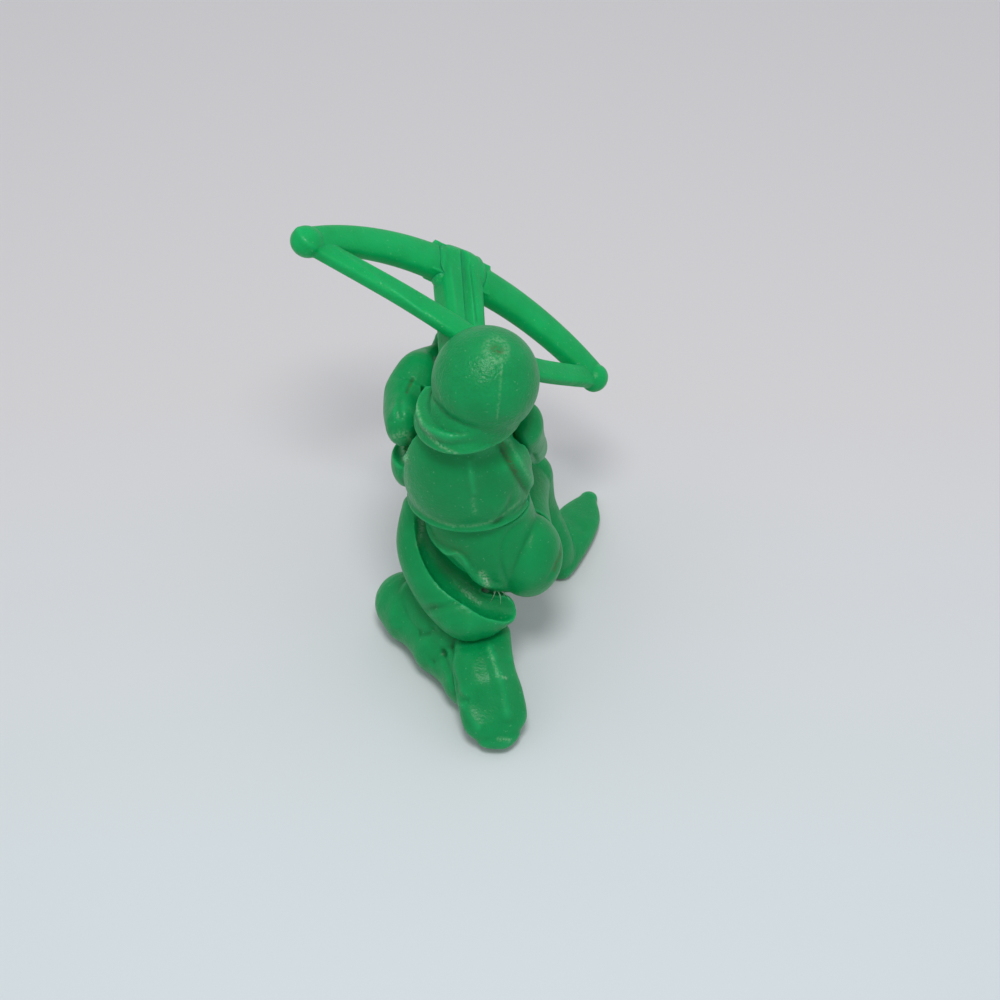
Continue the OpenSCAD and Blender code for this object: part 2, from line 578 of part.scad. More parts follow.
module crossbow_bow() {
  // The limbs start clear of the stock's sides, and a straight tang fills the slot between them
  root_x = (stock_w / 2 + bow_d / 2 * abs(sin(bow_skew))) / cos(bow_skew) + 0.25;
  root = asin(root_x / limb_r);
  tang = root_x + 0.5;
  // The string bars meet in front of the nut, and stay above the stock
  meet_y = nut_y + 1.3 + string_w / 2 + face_gap;
  meet = [meet_y * sin(bow_skew), meet_y * cos(bow_skew), stock_h / 2 + string_t / 2 + face_gap];
  color(bow_green) placed() aimed() moulded() rotate([0, 0, bow_skew]) {
    translate([-tang, -bow_d / 2, -bow_t / 2]) cube([2 * tang, bow_d, bow_t]);
    for (side = [-1, 1]) {
      tip = [side * bow_span / 2, -bow_sag, 0];
      half = (tip + meet) / 2 + [0, side < 0 ? string_bend : -3 * string_bend, 0];
      edge = [meet.x + side * (stock_w / 2 + 0.9), meet.y + (side < 0 ? 0.7 : 0.1), meet.z];
      loft([for (f = [0:0.2:1]) let(w = root + f * (limb_sweep - root))
        [side * limb_r * sin(w), -limb_r * (1 - cos(w)), 0, bow_d * (0.5 - 0.13 * f), bow_t * (0.64 - 0.09 * f)]],
        round = 0.75, ends = [0, 0.5], n = 14);
      egg(tip, (side < 0 ? 1 : 0.88) * knob_d / 2 * [1, 1, 1], n = 14);
      loft([[tip.x, tip.y, tip.z, string_w * 0.45, string_t / 2],
        [half.x, half.y, half.z, string_w / 2, string_t / 2],
        [edge.x, edge.y, edge.z, string_w * 0.55, string_t / 2],
        [meet.x, meet.y, meet.z, string_w * 0.55, string_t / 2]], round = 0.6, ends = [0, 0], n = small_n);
    }
  }
}

helmet();
head();
torso();
left_arm();
right_arm();
hips();
left_leg();
right_leg();
crossbow_stock();
crossbow_bow();
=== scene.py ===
"""Looks of the kneeling toy crossbowman: moulded skins, their plastic, the light and the camera."""
import logging
from dataclasses import dataclass
from enum import Enum
from typing import Any, ClassVar, Optional, Sequence, Union

import bpy
import numpy as np
from mathutils import Matrix


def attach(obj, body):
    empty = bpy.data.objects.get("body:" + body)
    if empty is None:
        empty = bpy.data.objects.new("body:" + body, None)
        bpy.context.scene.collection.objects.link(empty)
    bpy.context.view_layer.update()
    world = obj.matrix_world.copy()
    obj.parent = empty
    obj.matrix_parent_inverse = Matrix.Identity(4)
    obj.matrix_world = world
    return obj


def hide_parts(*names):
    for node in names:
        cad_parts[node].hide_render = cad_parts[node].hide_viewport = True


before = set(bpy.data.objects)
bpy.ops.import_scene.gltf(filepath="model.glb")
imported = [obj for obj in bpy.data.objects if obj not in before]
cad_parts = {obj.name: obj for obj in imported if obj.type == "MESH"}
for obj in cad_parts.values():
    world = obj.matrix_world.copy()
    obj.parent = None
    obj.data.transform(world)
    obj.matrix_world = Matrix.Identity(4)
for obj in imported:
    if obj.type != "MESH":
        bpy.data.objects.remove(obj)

LOG = logging.getLogger("crossbowman")
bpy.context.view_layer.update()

Point = tuple[float, float, float]
Pixel = tuple[float, float]
Station = Sequence[float]
Array = np.ndarray

# The shapes are worked out in design millimetres: X to the figure's right, Y forward, Z up from the floor.
MILLIMETRE = 0.001
MIDDLE = np.array([-2.524, 18.852, 0.0])
UP: Point = (0.0, 0.0, 1.0)
DOWN: Point = (0.0, 0.0, -1.0)
FORWARD: Point = (0.0, 1.0, 0.0)
RING_POINTS = 48
CURVE_STEPS = 8
CAP_STEPS = 6
PATH_STEPS = 4


class Step(Enum):
    """What a shaping step does to the moulding so far."""

    CUT = "DIFFERENCE"
    ADD = "UNION"


class Slot(Enum):
    """The record's two finishes."""

    FIGURE = "figure_plastic"
    CROSSBOW = "crossbow_plastic"


class Trace(Enum):
    """What a stain, or a painted highlight, leaves on the plastic."""

    DIRT = "dirt"
    # Pale scuffs, and a few pale marks that are painted highlights
    SCUFF_AND_HIGHLIGHT = "scuff"


# The mesh attributes that the finish reads. The crevice attribute lays painted shade, and the pale trace
# holds scuffs and a few painted highlights.
TRACES = ("crevice", "edge", Trace.DIRT.value, Trace.SCUFF_AND_HIGHLIGHT.value, "grain")


def unit(vectors: Array) -> Array:
    """Vectors divided by their lengths."""
    return vectors / np.linalg.norm(vectors, axis=-1, keepdims=True)


def ease(low: float, high: float, values: Array) -> Array:
    """A smooth step: 0 up to low, 1 from high, and 3t squared less 2t cubed between."""
    t = np.clip((values - low) / (high - low), 0.0, 1.0)
    return t * t * (3.0 - 2.0 * t)


def glide(stations: Array, steps: int = CURVE_STEPS) -> Array:
    """A smooth curve through stations.

    Between stations b and c, with neighbours a and d, the curve is half of
    2b + (c - a)t + (2a - 5b + 4c - d)t squared + (3b - a - 3c + d)t cubed.

    Args:
        stations: The values at each station, one row each.
        steps: Curve points for each stretch.

    Returns:
        The curve's rows, from the first station to the last.
    """
    rows = np.vstack([stations[:1], stations, stations[-1:]])[:, None, :]
    a, b, c, d = rows[:-3], rows[1:-2], rows[2:-1], rows[3:]
    t = (np.arange(steps) / steps)[None, :, None]
    curve = 0.5 * (2 * b + (c - a) * t + (2 * a - 5 * b + 4 * c - d) * t**2 + (3 * b - a - 3 * c + d) * t**3)
    return np.vstack([curve.reshape(-1, stations.shape[1]), stations[-1:]])


def turned(degrees: Point) -> Array:
    """The matrix that turns about x, then y, then z by these angles.

    Args:
        degrees: The three angles.

    Returns:
        The matrix.
    """
    x, y, z = np.radians(degrees)
    about_x = np.array([[1, 0, 0], [0, np.cos(x), -np.sin(x)], [0, np.sin(x), np.cos(x)]])
    about_y = np.array([[np.cos(y), 0, np.sin(y)], [0, 1, 0], [-np.sin(y), 0, np.cos(y)]])
    about_z = np.array([[np.cos(z), -np.sin(z), 0], [np.sin(z), np.cos(z), 0], [0, 0, 1]])
    return about_z @ about_y @ about_x


@dataclass(frozen=True)
class Skin:
    """A closed surface: points in millimetres, with its four-sided and three-sided faces."""

    points: Array
    quads: Array
    tris: Array

    def faces(self) -> list[list[int]]:
        """All the faces as lists of point numbers."""
        return self.quads.tolist() + self.tris.tolist()


@dataclass(frozen=True)
class Placing:
    """A frame: its origin and the matrix that turns it."""

    origin: Array
    turn: Array

    @staticmethod
    def of(origin: Point = (0.0, 0.0, 0.0), degrees: Point = (0.0, 0.0, 0.0)) -> "Placing":
        """A frame at a point, turned about x, then y, then z."""
        return Placing(np.array(origin, dtype=float), turned(degrees))

    def then(self, inner: "Placing") -> "Placing":
        """The frame that has inner's place within this one."""
        return Placing(self.origin + self.turn @ inner.origin, self.turn @ inner.turn)

    def spots(self, points: Array) -> Array:
        """Points of this frame in design millimetres."""
        return points @ self.turn.T + self.origin

    def move(self, skin: Skin) -> Skin:
        """A skin of this frame in design millimetres."""
        return Skin(self.spots(skin.points), skin.quads, skin.tris)


HERE = Placing.of()


def closed_rings(rings: Array, first: Array, last: Array) -> Skin:
    """Joins rings of points into a closed skin with a pole at each end.

    Args:
        rings: Points by ring, place in the ring, and axis.
        first: The pole before the first ring.
        last: The pole after the last ring.

    Returns:
        The skin, with faces that point outwards for rings that run anticlockwise seen from the last pole.
    """
    count, size, _ = rings.shape
    here = np.arange(size)
    after = (here + 1) % size
    rows = 1 + size * np.arange(count - 1)[:, None]
    corners = [rows + here, rows + after, rows + size + after, rows + size + here]
    quads = np.stack(corners, axis=-1).reshape(-1, 4)
    end = 1 + size * (count - 1)
    low = np.stack([np.zeros(size, int), 1 + after, 1 + here], axis=-1)
    high = np.stack([np.full(size, 1 + size * count), end + here, end + after], axis=-1)
    points = np.vstack([first[None], rings.reshape(-1, 3), last[None]])
    return Skin(points, quads, np.vstack([low, high]))


def loft(
    stations: Sequence[Station],
    ref: Point = UP,
    squareness: float = 1.0,
    ends: tuple[float, float] = (1.0, 1.0),
) -> Skin:
    """A closed skin carried along a path.

    Each station gives a centre and the half width and half height of an oval. The oval's points lie at
    a times cos w to the power e across, and b times sin w to the power e upwards, with the signs kept. Each
    end closes with shrinking ovals on a quarter circle.

    Args:
        stations: Rows of x, y, z, half width and half height.
        ref: The direction that the height leans towards.
        squareness: The power e, squarer below 1.
        ends: How far each end bulges, in shares of its smaller half size.

    Returns:
        The skin.
    """
    rows = glide(np.array(stations, dtype=float))
    spots = rows[:, :3]
    index = np.arange(len(rows))
    way = unit(spots[np.minimum(index + 1, index[-1])] - spots[np.maximum(index - 1, 0)])
    across = unit(np.cross(np.array(ref), way))
    upward = np.cross(way, across)
    around = 2 * np.pi * np.arange(RING_POINTS) / RING_POINTS
    cos_e = np.sign(np.cos(around)) * np.abs(np.cos(around)) ** squareness
    sin_e = np.sign(np.sin(around)) * np.abs(np.sin(around)) ** squareness
    reach = rows[:, 3, None, None] * cos_e[None, :, None] * across[:, None]
    reach = reach + rows[:, 4, None, None] * sin_e[None, :, None] * upward[:, None]
    quarter = 0.5 * np.pi * np.arange(1, CAP_STEPS) / CAP_STEPS
    bulge = [end * min(rows[i, 3:5]) for end, i in zip(ends, (0, -1))]
    shrink = np.cos(quarter)[:, None, None]
    shift = np.sin(quarter)[:, None, None]
    low = spots[0] + shrink * reach[0] - bulge[0] * shift * way[0]
    high = spots[-1] + shrink * reach[-1] + bulge[1] * shift * way[-1]
    rings = np.concatenate([low[::-1], spots[:, None] + reach, high])
    return closed_rings(rings, spots[0] - bulge[0] * way[0], spots[-1] + bulge[1] * way[-1])


def ball(at: Point, size: Point) -> Skin:
    """An egg about a point: size times (cos h cos w, cos h sin w, sin h) for height h and turn w.

    Args:
        at: The middle.
        size: The half sizes along x, y and z.

    Returns:
        The skin.
    """
    height = np.radians(np.linspace(-90, 90, RING_POINTS // 2 + 1))[1:-1, None]
    turn = 2 * np.pi * np.arange(RING_POINTS)[None, :] / RING_POINTS
    shape = [np.cos(height) * np.cos(turn), np.cos(height) * np.sin(turn), np.sin(height) + 0 * turn]
    rings = np.array(at) + np.array(size) * np.stack(shape, axis=-1)
    pole = np.array([0.0, 0.0, size[2]])
    return closed_rings(rings, np.array(at) - pole, np.array(at) + pole)


def revolve(profile: Sequence[tuple[float, float]]) -> Skin:
    """Turns a profile about z: radius times cos w and sin w outwards, and height upwards.

    Args:
        profile: Points of radius and height from foot to head, the first and last of them on the axis.

    Returns:
        The skin.
    """
    rows = np.array(profile, dtype=float)
    turn = 2 * np.pi * np.arange(2 * RING_POINTS) / (2 * RING_POINTS)
    circle = np.stack([np.cos(turn), np.sin(turn), 0 * turn], axis=-1)
    lift = np.array(UP)
    rings = rows[1:-1, 0, None, None] * circle + rows[1:-1, 1, None, None] * lift
    return closed_rings(rings, rows[0, 1] * lift, rows[-1, 1] * lift)


def rod(placing: Placing, diameter: float, foot: float, head: float, chamfer: float = 0.2) -> Skin:
    """A round rod along a frame's z, from foot to head, with a chamfer at its head."""
    r = diameter / 2
    return placing.move(revolve([(0, foot), (r, foot), (r, head - chamfer), (r - chamfer, head), (0, head)]))


def block(low: Point, high: Point, placing: Placing = HERE) -> Skin:
    """A box between two corners of a frame.

    Args:
        low: The corner with the lowest x, y and z.
        high: The corner across from it.
        placing: The frame.

    Returns:
        The skin.
    """
    corners = np.array([low, high])
    pick = np.array([[0, 0, 0], [1, 0, 0], [1, 1, 0], [0, 1, 0], [0, 0, 1], [1, 0, 1], [1, 1, 1], [0, 1, 1]])
    points = np.take_along_axis(corners, pick, axis=0)
    quads = [[0, 3, 2, 1], [4, 5, 6, 7], [0, 1, 5, 4], [1, 2, 6, 5], [2, 3, 7, 6], [3, 0, 4, 7]]
    return placing.move(Skin(points, np.array(quads), np.zeros((0, 3), int)))


def joined(skins: Sequence[Skin]) -> Skin:
    """Several skins as one list of points and faces.

    Args:
        skins: The skins, which stay as they are.

    Returns:
        The one skin.
    """
    starts = np.cumsum([0] + [len(s.points) for s in skins[:-1]])
    return Skin(
        np.vstack([s.points for s in skins]),
        np.vstack([s.quads + n for s, n in zip(skins, starts)]),
        np.vstack([s.tris + n for s, n in zip(skins, starts)]),
    )


@dataclass(frozen=True)
class Sight:
    """The photograph's viewpoint in design millimetres, for a picture of 1000 by 1000 pixels."""

    eye: Point = (2.0, -167.0, 215.5)
    target: Point = (2.0, 17.1, 18.0)
    lens: float = 97.2
    sensor: float = 36.0
    picture: float = 1000.0
    near_clip: float = 0.01
    grazing: tuple[float, float] = (0.02, 0.3)

    def axes(self) -> Array:
        """Rows that point right, up and back in the picture.

        Returns:
            The three rows.
        """
        back = unit(np.array(self.eye) - np.array(self.target))
        right = unit(np.cross(np.array(UP), back))
        return np.stack([right, np.cross(back, right), back])

    def pixels(self, points: Array) -> Array:
        """Where points fall in the picture: across from its left edge and down from its top.

        Args:
            points: Places in design millimetres, one row each.

        Returns:
            The pixels, one row each.
        """
        x, y, z = ((points - np.array(self.eye)) @ self.axes().T).T
        scale = self.picture * self.lens / self.sensor / -z
        return np.stack([self.picture / 2 + scale * x, self.picture / 2 - scale * y], axis=-1)

    def facing(self, points: Array, normals: Array) -> Array:
        """1 where a surface faces the eye, easing to 0 towards its outline."""
        way = unit(np.array(self.eye) - points)
        return ease(*self.grazing, np.sum(way * normals, axis=-1))

    def camera(self) -> bpy.types.Object:
        """Makes the camera at the photograph's angle.

        Returns:
            The camera, already set as the scene's own.
        """
        data = bpy.data.cameras.new("camera")
        data.lens = self.lens
        data.sensor_width = self.sensor
        data.clip_start = self.near_clip
        obj = bpy.data.objects.new("camera", data)
        matrix = np.eye(4)
        matrix[:3, :3] = self.axes().T
        matrix[:3, 3] = (np.array(self.eye) - MIDDLE) * MILLIMETRE
        obj.matrix_world = Matrix(matrix.tolist())
        bpy.context.scene.collection.objects.link(obj)
        bpy.context.scene.camera = obj
        return obj


def along_path(pixels: Array, path: Sequence[Pixel]) -> tuple[Array, Array]:
    """How far pixels lie from a smooth path.

    Args:
        pixels: Places in the picture, one row each.
        path: The path's pixels.

    Returns:
        The distance of each pixel to the path, and how far along the path its nearest point lies, 0 to 1.
    """
    curve = glide(np.array(path, dtype=float), PATH_STEPS)
    start, step = curve[:-1], np.diff(curve, axis=0)
    share = np.clip(((pixels[:, None] - start) * step).sum(-1) / (step**2).sum(-1), 0.0, 1.0)
    gaps = np.linalg.norm(pixels[:, None] - start - share[..., None] * step, axis=-1)
    best = gaps.argmin(axis=1)
    rows = np.arange(len(pixels))
    return gaps[rows, best], (best + share[rows, best]) / len(step)


@dataclass(frozen=True)
class Mark:
    """A raised or sunk line traced in the picture: rise times exp(-(distance / width) squared)."""

    path: tuple[Pixel, ...]
    width: float
    rise: float
    fade: float = 0.2

    def lift(self, pixels: Array) -> Array:
        """How far each place rises, in millimetres, easing to nothing at the line's ends.

        Args:
            pixels: Places in the picture, one row each.

        Returns:
            The rise of each place.
        """
        gap, share = along_path(pixels, self.path)
        ends = ease(0.0, self.fade, share) * ease(0.0, self.fade, 1.0 - share)
        return self.rise * ends * np.exp(-((gap / self.width) ** 2))


@dataclass(frozen=True)
class Dent:
    """A soft oval dip or swelling seen in the picture: rise times exp(-distance squared in half sizes)."""

    centre: Pixel
    half: tuple[float, float]
    rise: float
    tilt: float = 0.0

    def lift(self, pixels: Array) -> Array:
        """How far each place rises, in millimetres.

        Args:
            pixels: Places in the picture, one row each.

        Returns:
            The rise of each place.
        """
        angle = np.radians(self.tilt)
        away = pixels - np.array(self.centre)
        x = away[:, 0] * np.cos(angle) + away[:, 1] * np.sin(angle)
        y = away[:, 1] * np.cos(angle) - away[:, 0] * np.sin(angle)
        return self.rise * np.exp(-((x / self.half[0]) ** 2 + (y / self.half[1]) ** 2))


Relief = Union[Mark, Dent]


@dataclass(frozen=True)
class StainAndHighlight:
    """Dirt, a pale scuff, or a painted highlight, along a path in the picture."""

    path: tuple[Pixel, ...]
    width: float
    strength: float
    trace: Trace

    def weight(self, pixels: Array) -> Array:
        """How strong the mark is at each place."""
        gap, _ = along_path(pixels, self.path)
        return self.strength * np.exp(-((gap / self.width) ** 2))


@dataclass(frozen=True)
class Flat:
    """A plane to which a seat of the moulding is trimmed, apart from a peg that stands on it."""

    at: Point
    out: Point
    peg: Optional[Point] = None
    peg_r: float = 0.0
    reach: float = 0.4

    def trim(self, points: Array) -> Array:
        """Puts points that bulge a little past the plane back on it.

        Args:
            points: Places in design millimetres, one row each.

        Returns:
            The same points, trimmed.
        """
        out = unit(np.array(self.out))
        past = (points - np.array(self.at)) @ out
        over = (past > 0) & (past < self.reach)
        if self.peg is not None:
            away = points - np.array(self.peg)
            aside = np.linalg.norm(away - (away @ out)[:, None] * out, axis=-1)
            over &= aside > self.peg_r
        return points - np.where(over, past, 0.0)[:, None] * out


@dataclass
class Net:
    """An even net of quads: its points, edges and faces."""

    points: Array
    edges: Array
    quads: Array

    def averaged(self, values: Array) -> Array:
        """The mean of each point's neighbours, for one or more values a point.

        Args:
            values: The values, by point.

        Returns:
            The means, in the same layout.
        """
        a, b = self.edges.T
        count = len(self.points)
        columns = values.reshape(count, -1).T
        sums = [np.bincount(a, c[b], count) + np.bincount(b, c[a], count) for c in columns]
        degree = np.maximum(np.bincount(self.edges.ravel(), minlength=count), 1)
        return (np.stack(sums, axis=-1) / degree[:, None]).reshape(values.shape)

    def soften(self, rounds: int, push: float = 0.5, pull: float = 0.52) -> None:
        """Rounds off edges and fills corners, without shrinking.

        Each round moves every point towards its neighbours' mean by push, then away by pull.

        Args:
            rounds: How often that is done.
            push: The share of the way towards the mean.
            pull: The share of the way back.
        """
        for _ in range(rounds):
            self.points = self.points + push * (self.averaged(self.points) - self.points)
            self.points = self.points - pull * (self.averaged(self.points) - self.points)

    def normals(self) -> Array:
        """Each point's normal: the sum of its faces' crossed diagonals, at length 1.

        Returns:
            The normals, one row each.
        """
        corner = self.points[self.quads]
        face = np.cross(corner[:, 2] - corner[:, 0], corner[:, 3] - corner[:, 1])
        spread = np.repeat(face, 4, axis=0)
        place = self.quads.ravel()
        sums = [np.bincount(place, spread[:, k], len(self.points)) for k in range(3)]
        total = np.stack(sums, axis=-1)
        return total / np.maximum(np.linalg.norm(total, axis=-1, keepdims=True), 1e-12)

    def hollow(self, rounds: int, blurs: int = 3) -> Array:
        """How deep each point lies below its wider neighbourhood, in millimetres; negative on edges.

        Args:
            rounds: How wide the neighbourhood is, in rounds of averaging.
            blurs: How often the depths are then evened out with their neighbours' mean.

        Returns:
            The depth at each point.
        """
        wide = self.points
        for _ in range(rounds):
            wide = self.averaged(wide)
        depth = np.sum((wide - self.points) * self.normals(), axis=-1)
        for _ in range(blurs):
            depth = 0.5 * depth + 0.5 * self.averaged(depth)
        return depth


def as_object(name: str, skin: Skin) -> bpy.types.Object:
    """Puts a skin into the scene in its own units, for shaping.

    Args:
        name: The object's name.
        skin: The skin.

    Returns:
        The object.
    """
    mesh = bpy.data.meshes.new(name)
    mesh.from_pydata(skin.points.tolist(), [], skin.faces())
    obj = bpy.data.objects.new(name, mesh)
    bpy.context.scene.collection.objects.link(obj)
    return obj


def melted(forms: Sequence[Skin], steps: Sequence[tuple[Step, Skin]], voxel: float) -> Net:
    """Melts forms into one skin, takes the steps in order, and lays an even net over the result.

    Args:
        forms: Closed skins that overlap.
        steps: Cuts and additions, each with its tool.
        voxel: The net's spacing in millimetres.

    Returns:
        The net.
    """
    work = as_object("work", joined(forms))
    tools = [as_object("tool", tool) for _, tool in steps]
    kinds = ["REMESH"] + ["BOOLEAN"] * len(steps) + ["REMESH"]
    modifiers = [work.modifiers.new(kind, kind) for kind in kinds]
    for even in (modifiers[0], modifiers[-1]):
        even.mode = "VOXEL"
        even.voxel_size = voxel
    for modifier, tool, (step, _) in zip(modifiers[1:-1], tools, steps):
        modifier.operation = step.value
        modifier.solver = "MANIFOLD"
        modifier.object = tool
    done = work.evaluated_get(bpy.context.evaluated_depsgraph_get())
    mesh = done.to_mesh()
    points = np.empty(3 * len(mesh.vertices))
    edges = np.empty(2 * len(mesh.edges), dtype=np.int64)
    corners = np.empty(len(mesh.loops), dtype=np.int64)
    mesh.vertices.foreach_get("co", points)
    mesh.edges.foreach_get("vertices", edges)
    mesh.loops.foreach_get("vertex_index", corners)
    done.to_mesh_clear()
    for obj in [work, *tools]:
        data = obj.data
        bpy.data.objects.remove(obj)
        bpy.data.meshes.remove(data)
    return Net(points.reshape(-1, 3), edges.reshape(-1, 2), corners.reshape(-1, 4))


@dataclass(frozen=True)
class Layout:
    """Points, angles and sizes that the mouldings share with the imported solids."""

    hem: float = 7.6
    waist: Point = (-0.6, 15.2, 20.5)
    waist_peg: tuple[float, float] = (4.0, 3.2)
    torso_foot: float = 20.62
    torso_at: Point = (-1.1, 14.8, 20.62)
    shoulder: Point = (-1.2, 16.6, 29.32)
    shoulder_w: float = 8.8
    shoulder_peg: tuple[float, float] = (2.4, 2.0)
    arm_room: float = 2.8
    neck_foot: Point = (-0.7, 13.65, 32.62)
    neck_l: float = 4.9
    neck_peg: tuple[float, float] = (3.0, 2.6)
    head_turned: Point = (-10.0, 16.0, 0.0)
    rim_at: Point = (-0.3, 0.3, -4.5)
    rim_turned: Point = (10.0, -24.0, 0.0)
    thigh_seat: Point = (4.3, 17.4, 13.2)
    thigh_d: float = 6.2
    leg_peg: tuple[float, float] = (3.0, 3.0)
    leg_peg_at: Point = (-3.756, 12.922, 7.6)
    bow: tuple[float, float] = (3.9, 2.0)
    bow_skew: float = -7.0
    bow_at: Point = (-2.35, 36.0, 31.52)
    aim_left: float = 4.0
    aim_up: float = 10.0
    cant: float = 34.0
    stock: Point = (4.8, 17.2, 3.0)
    stock_nose: float = 2.6
    nut_y: float = -13.0
    grip_y: float = -10.5
    grip_lean: float = 25.0
    grip_peg: tuple[float, float] = (1.7, 3.4)
    gap: float = 0.12
    play: float = 0.1
    peg_root: float = 1.0
    peg_ring: float = 0.3
    past: float = 40.0

    def neck(self) -> Placing:
        """The frame at the foot of the neck, with z along the neck."""
        return Placing.of(self.neck_foot, self.head_turned)

    def head(self) -> Placing:
        """The frame at the middle of the helmet."""
        return self.neck().then(Placing.of((0.0, 0.0, self.neck_l)))

    def rim(self) -> Placing:
        """The frame of the helmet's nearly level rim."""
        return self.head().then(Placing.of(self.rim_at, self.rim_turned))

    def aim(self) -> Placing:
        """The crossbow's frame: x across, y to the nose, z out of its top."""
        lean = Placing.of((0, 0, 0), (self.aim_up, 0, self.aim_left))
        return Placing.of(self.bow_at).then(lean).then(Placing.of((0, 0, 0), (0, self.cant, 0)))

    def skewed(self) -> Placing:
        """The bow's frame, which is the crossbow's with the bow's skew."""
        return self.aim().then(Placing.of((0, 0, 0), (0, 0, self.bow_skew)))

    def grip(self) -> Placing:
        """The grip peg's frame: z points the way the crossbow lifts off."""
        return self.aim().then(Placing.of((0, self.grip_y, 0), (-self.grip_lean, 0, 0)))

    def side(self, sign: int) -> float:
        """Where the flat shoulder face lies across the figure, left for -1 and right for 1."""
        return self.shoulder[0] + sign * self.shoulder_w / 2

    def crosswise(self, sign: int) -> Placing:
        """A frame on the shoulder axis whose z points left for -1 and right for 1."""
        return Placing.of(self.shoulder, (0.0, 90.0 * sign, 0.0))

    def stock_room(self) -> Skin:
        """The room that the stock takes between the hands, with more at its ends and on top.

        Returns:
            The room as a box.
        """
        width, length, height = self.stock
        end, top = 1.0, 4.0
        low = (-width / 2 - self.gap, self.stock_nose - length - end, -height / 2 - self.gap)
        return block(low, (width / 2 + self.gap, self.stock_nose + end, height / 2 + top), self.aim())


LAYOUT = Layout()
SIGHT = Sight()


@dataclass
class Moulding:
    """One moulding of the toy: its forms, steps, flats and marks, and how its skin is made."""

    name: ClassVar[str] = ""
    body: ClassVar[str] = ""
    slot: ClassVar[Slot] = Slot.FIGURE

    voxel: float = 0.12
    softness: float = 0.6
    grain: float = 0.45
    settle_rounds: int = 2
    hollow_rounds: int = 24
    # Depths over which the crevices are painted darker, as painted shade
    crevice_shade_mm: tuple[float, float] = (0.015, 0.14)
    edge_mm: tuple[float, float] = (0.02, 0.13)

    def forms(self) -> list[Skin]:
        """The overlapping forms that melt into the moulding."""
        raise NotImplementedError

    def steps(self) -> list[tuple[Step, Skin]]:
        """Cuts and additions after the forms have melted, in order."""
        return []

    def flats(self) -> list[Flat]:
        """Planes to which the seats are trimmed."""
        return []

    def marks(self) -> list[Relief]:
        """Lines, dips and swellings traced in the picture."""
        return []

    def stains_and_highlights(self) -> list[StainAndHighlight]:
        """Dirt, scuffs and painted highlights traced in the picture."""
        return []

    def net(self) -> Net:
        """The shaped net: melted, softened, marked and trimmed.

        Returns:
            The net.
        """
        voxel = self.voxel * 1.0
        net = melted(self.forms(), self.steps(), voxel)
        net.soften(round((self.softness / voxel) ** 2))
        normals = net.normals()
        pixels = SIGHT.pixels(net.points)
        lift = sum((mark.lift(pixels) for mark in self.marks()), np.zeros(len(pixels)))
        lift = lift * SIGHT.facing(net.points, normals)
        net.points = net.points + lift[:, None] * normals
        net.soften(self.settle_rounds)
        for flat in self.flats():
            net.points = flat.trim(net.points)
        return net

    def traces(self, net: Net) -> dict[str, Array]:
        """Values that the finish reads at each point: crevices, which carry painted shade, worn edges, grain,
        dirt, and scuffs with a few painted highlights.

        Args:
            net: The shaped net.

        Returns:
            The values at each point, by the name of the mesh attribute.
        """
        hollow = net.hollow(self.hollow_rounds)
        pixels = SIGHT.pixels(net.points)
        seen = SIGHT.facing(net.points, net.normals())
        # The crevice value is painted shade: the finish darkens the colour where the surface lies below its
        # surroundings
        values = {"crevice": ease(*self.crevice_shade_mm, hollow), "edge": ease(*self.edge_mm, -hollow)}
        values["grain"] = np.full(len(pixels), self.grain)
        for trace in Trace:
            values[trace.value] = np.zeros(len(pixels))
        # Dirt and scuffs, with a few painted highlights, as traced in the picture
        for stain_or_highlight in self.stains_and_highlights():
            values[stain_or_highlight.trace.value] = np.maximum(values[stain_or_highlight.trace.value], seen * stain_or_highlight.weight(pixels))
        return values

    def build(self, finish: bpy.types.Material) -> bpy.types.Object:
        """Makes the skin, dresses it and puts it on its body.

        Args:
            finish: The plastic.

        Returns:
            The finished piece.
        """
        net = self.net()
        mesh = bpy.data.meshes.new(self.name + "_skin")
        count = len(net.quads)
        mesh.vertices.add(len(net.points))
        mesh.loops.add(4 * count)
        mesh.polygons.add(count)
        mesh.vertices.foreach_set("co", ((net.points - MIDDLE) * MILLIMETRE).ravel())
        mesh.loops.foreach_set("vertex_index", net.quads.ravel())
        mesh.polygons.foreach_set("loop_start", 4 * np.arange(count))
        mesh.update(calc_edges=True)
        mesh.validate()
        mesh.shade_smooth()
        for key, values in self.traces(net).items():
            mesh.attributes.new(key, "FLOAT", "POINT").data.foreach_set("value", values)
        mesh.materials.append(finish)
        obj = bpy.data.objects.new(self.name + "_skin", mesh)
        bpy.context.scene.collection.objects.link(obj)
        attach(obj, self.body)
        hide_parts(self.name)
        LOG.info("%s: %d faces", obj.name, count)
        return obj


